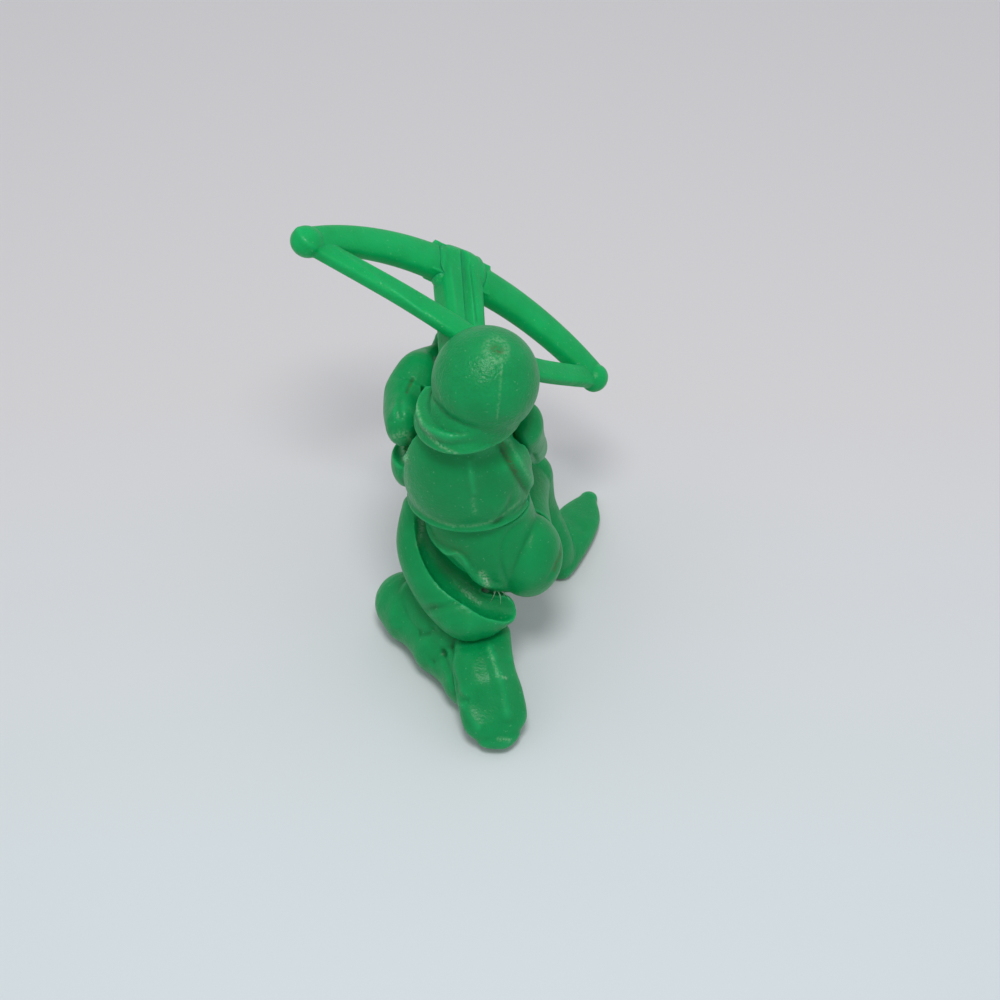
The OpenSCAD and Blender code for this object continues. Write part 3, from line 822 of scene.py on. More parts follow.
@dataclass
class Helmet(Moulding):
    """A plain round helmet with a waist and a crescent neck guard, hollow, open at the face."""

    name: ClassVar[str] = "helmet"
    body: ClassVar[str] = "head"

    voxel: float = 0.1
    softness: float = 0.42
    grain: float = 0.85
    outer_d: float = 10.2
    wall: float = 1.0
    waist_wall: float = 0.35
    rise: float = 1.04
    dome_from: float = -42.0
    dome_rings: int = 67
    cavity_rings: int = 24
    guard_w: float = 0.25
    guard_at: Point = (-0.4, -0.1, 0.0)
    guard_trim: float = 0.4
    foot: float = -6.6
    face_y: float = 2.6
    face_top: float = 0.6

    def forms(self) -> list[Skin]:
        """The dome, r cos w out and r sin w up with a waist below, and the rolled guard on the rim.

        Returns:
            The dome and the guard.
        """
        r = self.outer_d / 2
        waist = r - self.wall + self.waist_wall * self.wall
        angles = np.radians(np.linspace(self.dome_from, 90, self.dome_rings))
        dome = np.stack([np.maximum(waist, r * np.cos(angles)), self.rise * r * np.sin(angles)], axis=-1)
        dome[angles > 0, 0] = r * np.cos(angles[angles > 0])
        profile = [(0, self.foot), (waist, self.foot), *map(tuple, dome[:-1]), (0, self.rise * r)]
        out = r + self.guard_w - self.guard_trim
        guard = [(0, 0), (out - 0.12, 0), (out, 0.18), (out, 0.42), (out - 0.16, 0.72), (out - 0.45, 1.15),
                 (waist + 0.1, 1.7), (waist - 0.05, 2.1), (0, 2.1)]
        seat = LAYOUT.rim().then(Placing.of(self.guard_at))
        return [LAYOUT.head().move(revolve(profile)), seat.move(revolve(guard))]

    def steps(self) -> list[tuple[Step, Skin]]:
        """Hollows the helmet, trims it at its rim and opens the face.

        Returns:
            Each step with its tool.
        """
        inner = self.outer_d / 2 - self.wall
        angles = np.radians(np.linspace(0, 90, self.cavity_rings))
        cavity = [(0, 2 * self.foot), (inner, 2 * self.foot)]
        cavity += [(inner * np.cos(w), inner * np.sin(w)) for w in angles[:-1]] + [(0, inner)]
        far = LAYOUT.past
        face = block((-far, self.face_y, self.face_top - far), (far, far, self.face_top), LAYOUT.head())
        return [
            (Step.CUT, LAYOUT.head().move(revolve(cavity))),
            (Step.CUT, block((-far, -far, -far), (far, far, 0.0), LAYOUT.rim())),
            (Step.CUT, face),
        ]

    def marks(self) -> list[Relief]:
        """The seam over the crown, the sprue's scar and stub, and the crease and swelling at the guard.

        Returns:
            The marks.
        """
        seam = Mark(((500, 352), (503, 366), (500, 392), (496, 420)), 1.5, 0.03)
        scar = Dent((496, 350), (8, 9), -0.05)
        stub = Dent((497, 349), (3.2, 3.6), 0.06)
        crease = Mark(((432, 378), (435, 400), (447, 416), (466, 425), (486, 429)), 3.4, -0.16)
        swell = Mark(((423, 402), (432, 422), (444, 434), (458, 440)), 8.0, 0.16, 0.3)
        return [seam, scar, stub, crease, swell]

    def stains_and_highlights(self) -> list[StainAndHighlight]:
        """A grubby crown scar with a pale ring, the rubbed seam, and a painted highlight along the guard's
        lit rim.

        Returns:
            The stains and the painted highlight.
        """
        round_scar = ((486, 348), (491, 341), (500, 340), (506, 348), (503, 358), (493, 360), (486, 352))
        scar = StainAndHighlight(((494, 349), (500, 351)), 4.0, 0.7, Trace.DIRT)
        ring = StainAndHighlight(round_scar, 4.0, 0.22, Trace.SCUFF_AND_HIGHLIGHT)
        seam = StainAndHighlight(((502, 364), (500, 392), (497, 418)), 1.2, 0.16, Trace.SCUFF_AND_HIGHLIGHT)
        # Painted highlight: a pale line where the light catches the guard's rim
        guard = StainAndHighlight(((416, 404), (422, 424), (437, 443), (458, 455)), 1.8, 0.35, Trace.SCUFF_AND_HIGHLIGHT)
        return [scar, ring, seam, guard]


@dataclass
class Head(Moulding):
    """A round head on a thick neck, with a calm, plain face that the helmet frames."""

    name: ClassVar[str] = "head"
    body: ClassVar[str] = "head"

    voxel: float = 0.08
    softness: float = 0.22
    skull_r: float = 3.96
    socket_spare: float = 0.25

    def forms(self) -> list[Skin]:
        """Skull and neck in one profile from crown to foot, and the face's own forms.

        Returns:
            The skull, then the face's forms.
        """
        r = self.skull_r
        y = 0.07 * r
        foot = LAYOUT.gap - LAYOUT.neck_l
        # Height, half width and half depth, in shares of the skull's radius
        profile = np.array([
            [0.92, 0.35, 0.35], [0.78, 0.57, 0.57], [0.46, 0.82, 0.82], [0.14, 0.93, 0.93],
            [-0.02, 0.93, 0.96], [-0.14, 0.92, 1.03], [-0.29, 0.88, 0.95], [-0.46, 0.86, 1.0],
            [-0.62, 0.79, 0.98], [-0.78, 0.72, 0.97], [-0.87, 0.69, 0.98], [-0.96, 0.67, 0.83],
        ])
        rows = [[0, y, *row] for row in r * profile]
        rows += [[0, y, 0.5 * (foot - 0.96 * r), 0.67 * r, 0.7 * r], [0, y, foot, 0.67 * r, 0.67 * r]]
        skull = loft(rows, FORWARD, ends=(0.2, 0))
        scaled = [Skin(r * form.points, form.quads, form.tris) for form in self.face()]
        return [LAYOUT.head().move(form) for form in [skull, *scaled]]

    def face(self) -> list[Skin]:
        """Nose, brow, lips and chin, and on each side the eye, the nostril and the cheek.

        Returns:
            The forms, in shares of the skull's radius.
        """
        nose = loft([
            [0, 1.02, -0.16, 0.08, 0.09],
            [0, 1.12, -0.34, 0.1, 0.115],
            [0, 1.14, -0.47, 0.135, 0.125],
        ], FORWARD)
        brow = loft([
            [-0.54, 0.82, -0.18, 0.07, 0.06],
            [-0.3, 1.0, -0.12, 0.08, 0.07],
            [0, 1.07, -0.14, 0.07, 0.07],
            [0.3, 1.0, -0.12, 0.08, 0.07],
            [0.54, 0.82, -0.18, 0.07, 0.06],
        ])
        upper_lip = loft([
            [-0.22, 1.0, -0.665, 0.035, 0.028],
            [0, 1.07, -0.66, 0.06, 0.04],
            [0.22, 1.0, -0.665, 0.035, 0.028],
        ])
        lower_lip = loft([
            [-0.18, 1.0, -0.735, 0.035, 0.03],
            [0, 1.065, -0.735, 0.065, 0.045],
            [0.18, 1.0, -0.735, 0.035, 0.03],
        ])
        chin = ball((0, 0.93, -0.88), (0.26, 0.17, 0.13))
        forms = [nose, brow, upper_lip, lower_lip, chin]
        for side in (-1, 1):
            eye = ball((0.3 * side, 0.93, -0.29), (0.17, 0.11, 0.09))
            nostril = ball((0.12 * side, 1.08, -0.485), (0.08, 0.085, 0.075))
            cheek = ball((0.44 * side, 0.78, -0.48), (0.25, 0.22, 0.2))
            forms += [eye, nostril, cheek]
        return forms

    def steps(self) -> list[tuple[Step, Skin]]:
        """The socket for the neck peg.

        Returns:
            The step with its tool.
        """
        diameter, length = LAYOUT.neck_peg
        bore = diameter + 2 * LAYOUT.play
        return [(Step.CUT, rod(LAYOUT.neck(), bore, -LAYOUT.peg_root, length + self.socket_spare))]

    def flats(self) -> list[Flat]:
        """The neck's flat foot."""
        axis = LAYOUT.neck().turn[:, 2]
        return [Flat(tuple(np.array(LAYOUT.neck_foot) + LAYOUT.gap * axis), tuple(-axis))]


@dataclass
class Torso(Moulding):
    """The jerkin: a rounded back with a rolled hem, a strap over the right shoulder, and sleeve pockets."""

    name: ClassVar[str] = "torso"
    body: ClassVar[str] = "upper_body"

    height: float = 12.0
    width: float = 12.7
    depth: float = 9.9
    elbow_drop: float = 8.4
    left_drop: float = 1.8
    pouch: Point = (1.6, 2.3, 2.7)
    waist_spare: float = 0.35
    shoulder_spare: float = 0.25

    def forms(self) -> list[Skin]:
        """The back from hem to neck, and the pouch at the left side.

        Returns:
            The back and the pouch.
        """
        x, y, z = LAYOUT.torso_at
        w, d, h = self.width, self.depth, self.height
        back = loft([
            [x, y, z, 0.42 * w, 0.43 * d],
            [x, y, z + 0.5, 0.478 * w, 0.495 * d],
            [x, y, z + 1.15, 0.468 * w, 0.482 * d],
            [x, y, z + 1.9, 0.478 * w, 0.488 * d],
            [x, y - 0.1, z + 0.3 * h, 0.5 * w, 0.5 * d],
            [x, y - 0.3, z + 0.55 * h, 0.49 * w, 0.47 * d],
            [x, y - 0.6, z + 0.75 * h, 0.43 * w, 0.42 * d],
            [x + 0.2, y - 0.9, z + 0.9 * h, 0.3 * w, 0.32 * d],
            [LAYOUT.neck_foot[0], LAYOUT.neck_foot[1], z + h + 0.4, 3.3, 3.1],
        ], FORWARD, ends=(0, 0))
        return [back, ball((x - w / 2 + 0.3, y + 2.3, z + 2.9), self.pouch)]

    def steps(self) -> list[tuple[Step, Skin]]:
        """Sleeve pockets, neck seat, neck peg, and the sockets for waist and shoulder pegs.

        Returns:
            Each step with its tool.
        """
        far = LAYOUT.past
        _, y, z = LAYOUT.shoulder
        room = LAYOUT.arm_room
        right, left = LAYOUT.side(1), LAYOUT.side(-1)
        peg_d, peg_l = LAYOUT.shoulder_peg
        neck_d, neck_l = LAYOUT.neck_peg
        waist_d, waist_l = LAYOUT.waist_peg
        neck = LAYOUT.neck()
        waist = Placing.of(LAYOUT.waist)
        depth = LAYOUT.shoulder_w / 2 - peg_l - self.shoulder_spare
        bore = peg_d + 2 * LAYOUT.play
        waist_bore = waist_d + 2 * LAYOUT.play
        return [
            (Step.CUT, block((right, y - room, z - self.elbow_drop), (right + far, y + far, z + far))),
            (Step.CUT, block((left - far, y - room, z - room - self.left_drop), (left, y + far, z + far))),
            (Step.CUT, block((-far, -far, 0.0), (far, far, far), neck)),
            (Step.ADD, rod(neck, neck_d, -LAYOUT.peg_root, neck_l)),
            (Step.CUT, rod(waist, waist_bore, -LAYOUT.peg_root, waist_l + self.waist_spare)),
            (Step.CUT, rod(LAYOUT.crosswise(1), bore, depth, far)),
            (Step.CUT, rod(LAYOUT.crosswise(-1), bore, depth, far)),
        ]

    def flats(self) -> list[Flat]:
        """The foot that turns on the hips, and the neck's seat round its peg.

        Returns:
            The planes.
        """
        axis = LAYOUT.neck().turn[:, 2]
        neck_r = LAYOUT.neck_peg[0] / 2 + LAYOUT.peg_ring
        return [
            Flat((0.0, 0.0, LAYOUT.torso_foot), DOWN),
            Flat(LAYOUT.neck_foot, tuple(axis), LAYOUT.neck_foot, neck_r),
        ]

    def marks(self) -> list[Relief]:
        """The centre ridge and the dip beside it, the strap and its crevice, and the rib at the left.

        Returns:
            The marks.
        """
        ridge = Mark(((469, 455), (471, 474), (475, 498)), 4.5, 0.2)
        beside_ridge = Dent((488, 478), (11, 22), -0.34)
        left_swell = Dent((438, 488), (20, 26), 0.22)
        lobe = Dent((497, 508), (10, 9), 0.2)
        lobe_edge = Mark(((489, 528), (500, 520), (510, 506), (514, 490)), 3.6, -0.24, 0.3)
        under_strap = Dent((524, 502), (9, 12), -0.15)
        strap = Mark(((504, 434), (515, 455), (530, 480), (546, 503), (560, 520)), 6.0, 0.34, 0.08)
        crevice = Mark(((498, 440), (508, 460), (519, 480), (530, 497)), 3.8, -0.24, 0.2)
        rib = Mark(((404, 444), (404, 452), (407, 462)), 3.0, 0.28)
        return [ridge, beside_ridge, left_swell, lobe, lobe_edge, under_strap, strap, crevice, rib]

    def stains_and_highlights(self) -> list[StainAndHighlight]:
        """Brown dirt in the strap's crevice, and the rubbed rib, hem, strap and ridge.

        Returns:
            The stains.
        """
        along_hem = ((405, 463), (410, 492), (427, 515), (458, 526), (492, 521), (519, 502))
        crevice = StainAndHighlight(((501, 441), (508, 458), (515, 472)), 3.2, 0.7, Trace.DIRT)
        crevice_end = StainAndHighlight(((517, 476), (528, 494)), 2.2, 0.35, Trace.DIRT)
        rib = StainAndHighlight(((404, 444), (406, 461)), 3.0, 0.6, Trace.SCUFF_AND_HIGHLIGHT)
        hem = StainAndHighlight(along_hem, 1.4, 0.22, Trace.SCUFF_AND_HIGHLIGHT)
        strap = StainAndHighlight(((508, 440), (530, 478), (548, 504)), 1.6, 0.22, Trace.SCUFF_AND_HIGHLIGHT)
        ridge = StainAndHighlight(((473, 500), (475, 512)), 2.4, 0.18, Trace.SCUFF_AND_HIGHLIGHT)
        return [crevice, crevice_end, rib, hem, strap, ridge]


@dataclass
class Sleeve(Moulding):
    """What both sleeves share: their sizes and the shoulder peg."""

    voxel: float = 0.1
    softness: float = 0.55
    thick: float = 3.4
    deep: float = 4.6
    wrist: float = 3.0
    peg_tail: float = 0.6

    def peg(self, sign: int) -> Skin:
        """The peg that points inwards from a sleeve.

        Args:
            sign: The sleeve's side, left for -1 and right for 1.

        Returns:
            The peg with its root in the sleeve.
        """
        diameter, length = LAYOUT.shoulder_peg
        face = LAYOUT.shoulder_w / 2 + LAYOUT.gap
        return rod(LAYOUT.crosswise(sign), diameter, face - length, face + self.peg_tail)


@dataclass
class LeftArm(Sleeve):
    """The left sleeve, bent forward, with an open hand under the stock."""

    name: ClassVar[str] = "left_arm"
    body: ClassVar[str] = "left_arm"

    flat_ahead: float = 2.0
    palm_y: float = -6.0
    fingers: tuple[float, ...] = (-1.05, -0.3, 0.45, 1.1)

    def forms(self) -> list[Skin]:
        """The full sleeve, and the hand with four fingers across the stock.

        Returns:
            The sleeve, the palm and the fingers.
        """
        _, y, z = LAYOUT.shoulder
        x = LAYOUT.side(-1) - LAYOUT.gap - self.thick / 2
        t, d, w = self.thick, self.deep, self.wrist
        sleeve = loft([
            [x, y, z, t / 2, 0.5 * d],
            [x - 0.1, y + 2.6, z - 0.7, 0.56 * t, 0.52 * d],
            [x + 0.45, y + 5.0, z - 0.6, 0.7 * t, 0.5 * d],
            [x + 1.2, y + 7.2, z + 0.4, 0.62 * w, 0.55 * w],
            [x + 1.8, y + 9.8, z - 0.9, 0.4 * w, 0.42 * w],
            [x + 3.2, y + 11.8, z - 1.9, 0.36 * w, 0.36 * w],
            [x + 3.7, y + 12.9, z - 1.6, 0.34 * w, 0.34 * w],
        ])
        half_w, under = LAYOUT.stock[0] / 2, -LAYOUT.stock[2] / 2 - LAYOUT.gap
        p = self.palm_y
        hand = [loft([
            [-0.2, p - 0.7, under - 1.15, 0.95, 0.95],
            [0.7, p - 0.3, under - 1.0, 1.35, 0.92],
            [half_w - 0.8, p, under - 0.8, 1.3, 0.75],
        ])]
        for shift in self.fingers:
            hand.append(loft([
                [0.4, p + shift, under - 1.0, 0.4, 0.5],
                [half_w - 0.9, p + shift, under - 0.85, 0.42, 0.6],
                [half_w - 0.35, p + shift, under - 0.7, 0.4, 0.5],
            ]))
        return [sleeve] + [LAYOUT.aim().move(form) for form in hand]

    def steps(self) -> list[tuple[Step, Skin]]:
        """The flat shoulder, room for the stock, and the shoulder peg.

        Returns:
            Each step with its tool.
        """
        far = LAYOUT.past
        _, y, z = LAYOUT.shoulder
        face = LAYOUT.side(-1) - LAYOUT.gap
        ahead = y + self.deep / 2 + self.flat_ahead
        flat = block((face, y - far, z - self.deep), (face + far, ahead, z + far))
        return [(Step.CUT, flat), (Step.CUT, LAYOUT.stock_room()), (Step.ADD, self.peg(-1))]

    def marks(self) -> list[Relief]:
        """The crease where the sleeve bends, and the folds behind it.

        Returns:
            The marks.
        """
        bend = Mark(((414, 377), (410, 384), (406, 394)), 2.0, -0.14)
        inner_fold = Mark(((402, 396), (399, 408), (400, 420)), 3.0, -0.12)
        outer_fold = Mark(((392, 398), (389, 410), (391, 424)), 3.0, -0.1)
        return [bend, inner_fold, outer_fold]

    def stains_and_highlights(self) -> list[StainAndHighlight]:
        """Dirt in the crease and a rubbed lower edge.

        Returns:
            The stains.
        """
        bend = StainAndHighlight(((413, 379), (407, 393)), 1.3, 0.55, Trace.DIRT)
        lower_edge = StainAndHighlight(((394, 437), (404, 434), (410, 440)), 4.0, 0.28, Trace.SCUFF_AND_HIGHLIGHT)
        return [bend, lower_edge]


@dataclass
class RightArm(Sleeve):
    """The right sleeve, bent across the chest, with the fist round the grip."""

    name: ClassVar[str] = "right_arm"
    body: ClassVar[str] = "right_arm"

    flat_behind: float = 4.0
    flat_ahead: float = 3.5
    flat_below: float = 8.0
    fist_d: float = 3.6
    knuckles: tuple[float, ...] = (-0.95, -0.3, 0.35, 0.95)

    def forms(self) -> list[Skin]:
        """Upper sleeve, lower sleeve, and the fist with its knuckles.

        Returns:
            The two sleeves, the fist and the knuckles.
        """
        _, y, z = LAYOUT.shoulder
        x = LAYOUT.side(1) + LAYOUT.gap + self.thick / 2
        t, d, w, f = self.thick, self.deep, self.wrist, self.fist_d
        upper = loft([
            [x - 0.5, y, z, t / 2, 0.5 * d],
            [x - 0.4, y + 0.8, z - 2.2, t / 2, 0.5 * d],
            [x - 0.2, y + 1.9, z - 4.5, t / 2, 0.47 * d],
            [x, y + 3.1, z - 6.3, 0.5 * t, 0.42 * d],
        ], FORWARD)
        lower = loft([
            [x, y + 3.3, z - 6.2, 0.48 * t, 0.4 * d],
            [x - 1.7, y + 5.2, z - 5, 0.62 * w, 0.6 * w],
            [x - 5, y + 7, z - 3.3, 0.52 * w, 0.52 * w],
            [x - 7.2, y + 7.7, z - 2.6, 0.48 * w, 0.48 * w],
        ])
        drop = LAYOUT.stock[2] / 2 + LAYOUT.gap + f / 2
        hand = [ball((0, 0, -drop), (0.5 * f, 0.52 * f, 0.52 * f))]
        hand += [ball((0.3, 0.42 * f, -drop + shift), (0.85, 0.42, 0.36)) for shift in self.knuckles]
        return [upper, lower] + [LAYOUT.grip().move(form) for form in hand]

    def steps(self) -> list[tuple[Step, Skin]]:
        """The flat shoulder, the shoulder peg, the grip's hole and room for the stock.

        Returns:
            Each step with its tool.
        """
        far = LAYOUT.past
        _, y, z = LAYOUT.shoulder
        face = LAYOUT.side(1) + LAYOUT.gap
        low = (face - far, y - self.flat_behind, z - self.flat_below)
        flat = block(low, (face, y + self.flat_ahead, z + far))
        hole = rod(LAYOUT.grip(), LAYOUT.grip_peg[0] + 2 * LAYOUT.play, -far, far)
        return [(Step.CUT, flat), (Step.ADD, self.peg(1)), (Step.CUT, hole), (Step.CUT, LAYOUT.stock_room())]

    def marks(self) -> list[Relief]:
        """The fold in the bend of the elbow and the swelling beside it.

        Returns:
            The marks.
        """
        fold = Mark(((532, 452), (538, 466), (541, 480)), 3.0, -0.2)
        swell = Dent((526, 440), (10, 14), 0.1)
        return [fold, swell]


@dataclass
class Hips(Moulding):
    """Seat, waist and skirt, with the thick fold that sweeps back round the kneeling leg to its cuff."""

    name: ClassVar[str] = "hips"
    body: ClassVar[str] = "lower_body"

    softness: float = 1.4
    waist_w: float = 10.6
    waist_d: float = 8.4
    skirt_at: Point = (-2.4, 15.0, 7.6)
    skirt_w: float = 11.8
    skirt_d: float = 11.6
    seat_at: Point = (4.7, 13.7, 13.6)
    seat: Point = (3.6, 3.8, 4.8)
    thigh_room: tuple[float, float] = (0.3, 0.6)
    socket_spare: float = 0.3

    def forms(self) -> list[Skin]:
        """Waist and seat, skirt core, fold and cuff, and the rolled lower edge of the second tier.

        Returns:
            The forms, from the waist down.
        """
        x, y, z = LAYOUT.waist
        w, d = self.waist_w, self.waist_d
        waist = loft([
            [x - 0.3, y, z + 2, 0.49 * w, 0.46 * d],
            [x, y, z, 0.5 * w, 0.5 * d],
            [x + 0.5, y - 0.2, z - 2, 0.51 * w, 0.56 * d],
            [x + 1.7, y - 0.3, z - 5, 0.47 * w, 0.6 * d],
            [x + 3, y - 0.2, z - 8, 0.4 * w, 0.54 * d],
            [x + 3.6, y, z - 9.6, 0.3 * w, 0.42 * d],
        ], FORWARD, ends=(0, 0.6))
        return [waist, ball(self.seat_at, self.seat), *self.skirt(), self.tier()]

    def skirt(self) -> list[Skin]:
        """The skirt's core, and the fold that sweeps round it to the cuff.

        Returns:
            The core and the fold.
        """
        x, y, z = self.skirt_at
        w, d = self.skirt_w, self.skirt_d
        core = loft([
            [x, y, z, 0.36 * w, 0.3 * d],
            [x + 0.3, y, z + 4, 0.36 * w, 0.28 * d],
            [x + 0.6, y, LAYOUT.waist[2] - 3, 0.34 * w, 0.28 * d],
        ], FORWARD, ends=(0, 0.5))
        fold = [
            [-0.25, 0.1, 10.4, 2.4],
            [-0.28, -0.04, 6.6, 2.7],
            [-0.15, -0.22, 3.4, 2.9],
            [0.06, -0.45, 1.9, 2.8],
            [0.2, -0.47, 1.6, 2.5],
            [0.31, -0.44, 1.5, 2.05],
            [0.41, -0.4, 1.5, 1.6],
        ]
        return [core, self.along(fold, (0.6, 0.7))]

    def along(self, path: Sequence[Station], ends: tuple[float, float]) -> Skin:
        """A round form along the skirt.

        Args:
            path: Rows of shares of the skirt's width and depth, height over the hem, and half thickness.
            ends: How far each end bulges.

        Returns:
            The skin.
        """
        rows = np.array(path)
        spots = np.array(self.skirt_at) + rows[:, :3] * np.array([self.skirt_w, self.skirt_d, 1.0])
        return loft(np.column_stack([spots, rows[:, 3], rows[:, 3]]), ends=ends)

    def valley(self) -> Skin:
        """The deep valley between the fold and the tier above it.

        Returns:
            The skin of the tool that cuts it.
        """
        path = [
            [-0.33, -0.06, 12.2, 0.35],
            [-0.27, -0.15, 9.4, 0.75],
            [-0.2, -0.22, 7.6, 1.15],
            [-0.09, -0.29, 5.9, 1.5],
            [0.055, -0.38, 4.8, 1.7],
            [0.225, -0.48, 3.8, 1.55],
            [0.38, -0.49, 3.2, 1.5],
            [0.58, -0.5, 2.5, 1.5],
        ]
        return self.along(path, (1.0, 1.0))

    def tier(self) -> Skin:
        """The roll along the tier's lower edge, from the left side down to the seat.

        Returns:
            The roll's skin.
        """
        return loft([
            [-4.9, 13.6, 18.0, 0.6, 0.6],
            [-3.8, 12.3, 17.0, 0.7, 0.7],
            [-2.1, 11.1, 16.9, 0.8, 0.8],
            [-1.0, 10.8, 15.6, 0.85, 0.85],
            [0.3, 10.6, 13.7, 0.85, 0.85],
            [1.9, 10.9, 12.6, 0.7, 0.7],
        ])

    def steps(self) -> list[tuple[Step, Skin]]:
        """The valley, the flat for the thigh, flat top and hem, the waist peg and the two leg sockets.

        Returns:
            Each step with its tool.
        """
        far = LAYOUT.past
        x, y, z = LAYOUT.thigh_seat
        top = LAYOUT.waist[2]
        half = LAYOUT.thigh_d / 2
        beside, above = self.thigh_room
        leg_d, leg_l = LAYOUT.leg_peg
        waist_d, waist_l = LAYOUT.waist_peg
        bore, depth = leg_d + 2 * LAYOUT.play, leg_l + self.socket_spare
        under = Placing.of(LAYOUT.leg_peg_at)
        behind = Placing.of(LAYOUT.thigh_seat, (90.0, 0.0, 0.0))
        return [
            (Step.CUT, self.valley()),
            (Step.CUT, block((x - half - beside, y, -1.0), (far, far, z + half + above))),
            (Step.CUT, block((-far, -far, top), (far, far, top + far))),
            (Step.CUT, block((-far, -far, -far), (far, far, LAYOUT.hem))),
            (Step.ADD, rod(Placing.of(LAYOUT.waist), waist_d, -LAYOUT.peg_root, waist_l)),
            (Step.CUT, rod(under, bore, -LAYOUT.peg_root, depth)),
            (Step.CUT, rod(behind, bore, -LAYOUT.peg_root, depth)),
        ]

    def flats(self) -> list[Flat]:
        """The plane on which the torso turns, round its peg, and the hem."""
        peg_r = LAYOUT.waist_peg[0] / 2 + LAYOUT.peg_ring
        return [Flat(LAYOUT.waist, UP, LAYOUT.waist, peg_r), Flat(LAYOUT.leg_peg_at, DOWN)]

    def marks(self) -> list[Relief]:
        """Creases round the seat, the strap's end, folds of the skirt, the cuff's lumps and the tier's edge.

        Returns:
            The marks.
        """
        round_seat = ((536, 516), (516, 526), (504, 540), (501, 554), (503, 572), (509, 588))
        seat_crease = Mark(round_seat, 3.0, -0.12, 0.2)
        strap_end = Mark(((556, 512), (564, 527), (566, 545), (560, 567), (546, 588)), 3.4, 0.14, 0.15)
        strap_edge = Mark(((550, 516), (559, 530), (561, 546), (555, 566), (543, 586)), 1.6, -0.07, 0.2)
        skirt_fold = Mark(((414, 505), (414, 535), (424, 565), (445, 592)), 4.0, -0.1)
        cuff_notch = Dent((432, 609), (9, 5), -0.4, -15.0)
        cuff_crease = Mark(((436, 609), (450, 604), (464, 601)), 4.0, -0.16, 0.3)
        left_lump = Dent((448, 624), (9, 9), 0.16)
        right_lump = Dent((470, 626), (8, 9), 0.12)
        tier_tip = Dent((484, 580), (6, 7), 0.16)
        tier_edge = Mark(((438, 546), (447, 554), (455, 553), (463, 558), (470, 570)), 1.8, 0.14, 0.15)
        return [seat_crease, strap_end, strap_edge, skirt_fold, cuff_notch, cuff_crease, left_lump,
                right_lump, tier_tip, tier_edge]

    def stains_and_highlights(self) -> list[StainAndHighlight]:
        """The torn flash under the tier, dirt beside the strap and on the tier, and a rubbed left edge.

        Returns:
            The stains.
        """
        flash = StainAndHighlight(((482, 574), (486, 580), (487, 586)), 3.0, 0.7, Trace.SCUFF_AND_HIGHLIGHT)
        strap = StainAndHighlight(((548, 508), (561, 528), (562, 548), (554, 570)), 2.4, 0.65, Trace.DIRT)
        tier = StainAndHighlight(((436, 535), (448, 546), (464, 552)), 6.0, 0.25, Trace.DIRT)
        left_edge = StainAndHighlight(((423, 520), (418, 545)), 2.5, 0.2, Trace.SCUFF_AND_HIGHLIGHT)
        return [flash, strap, tier, left_edge]


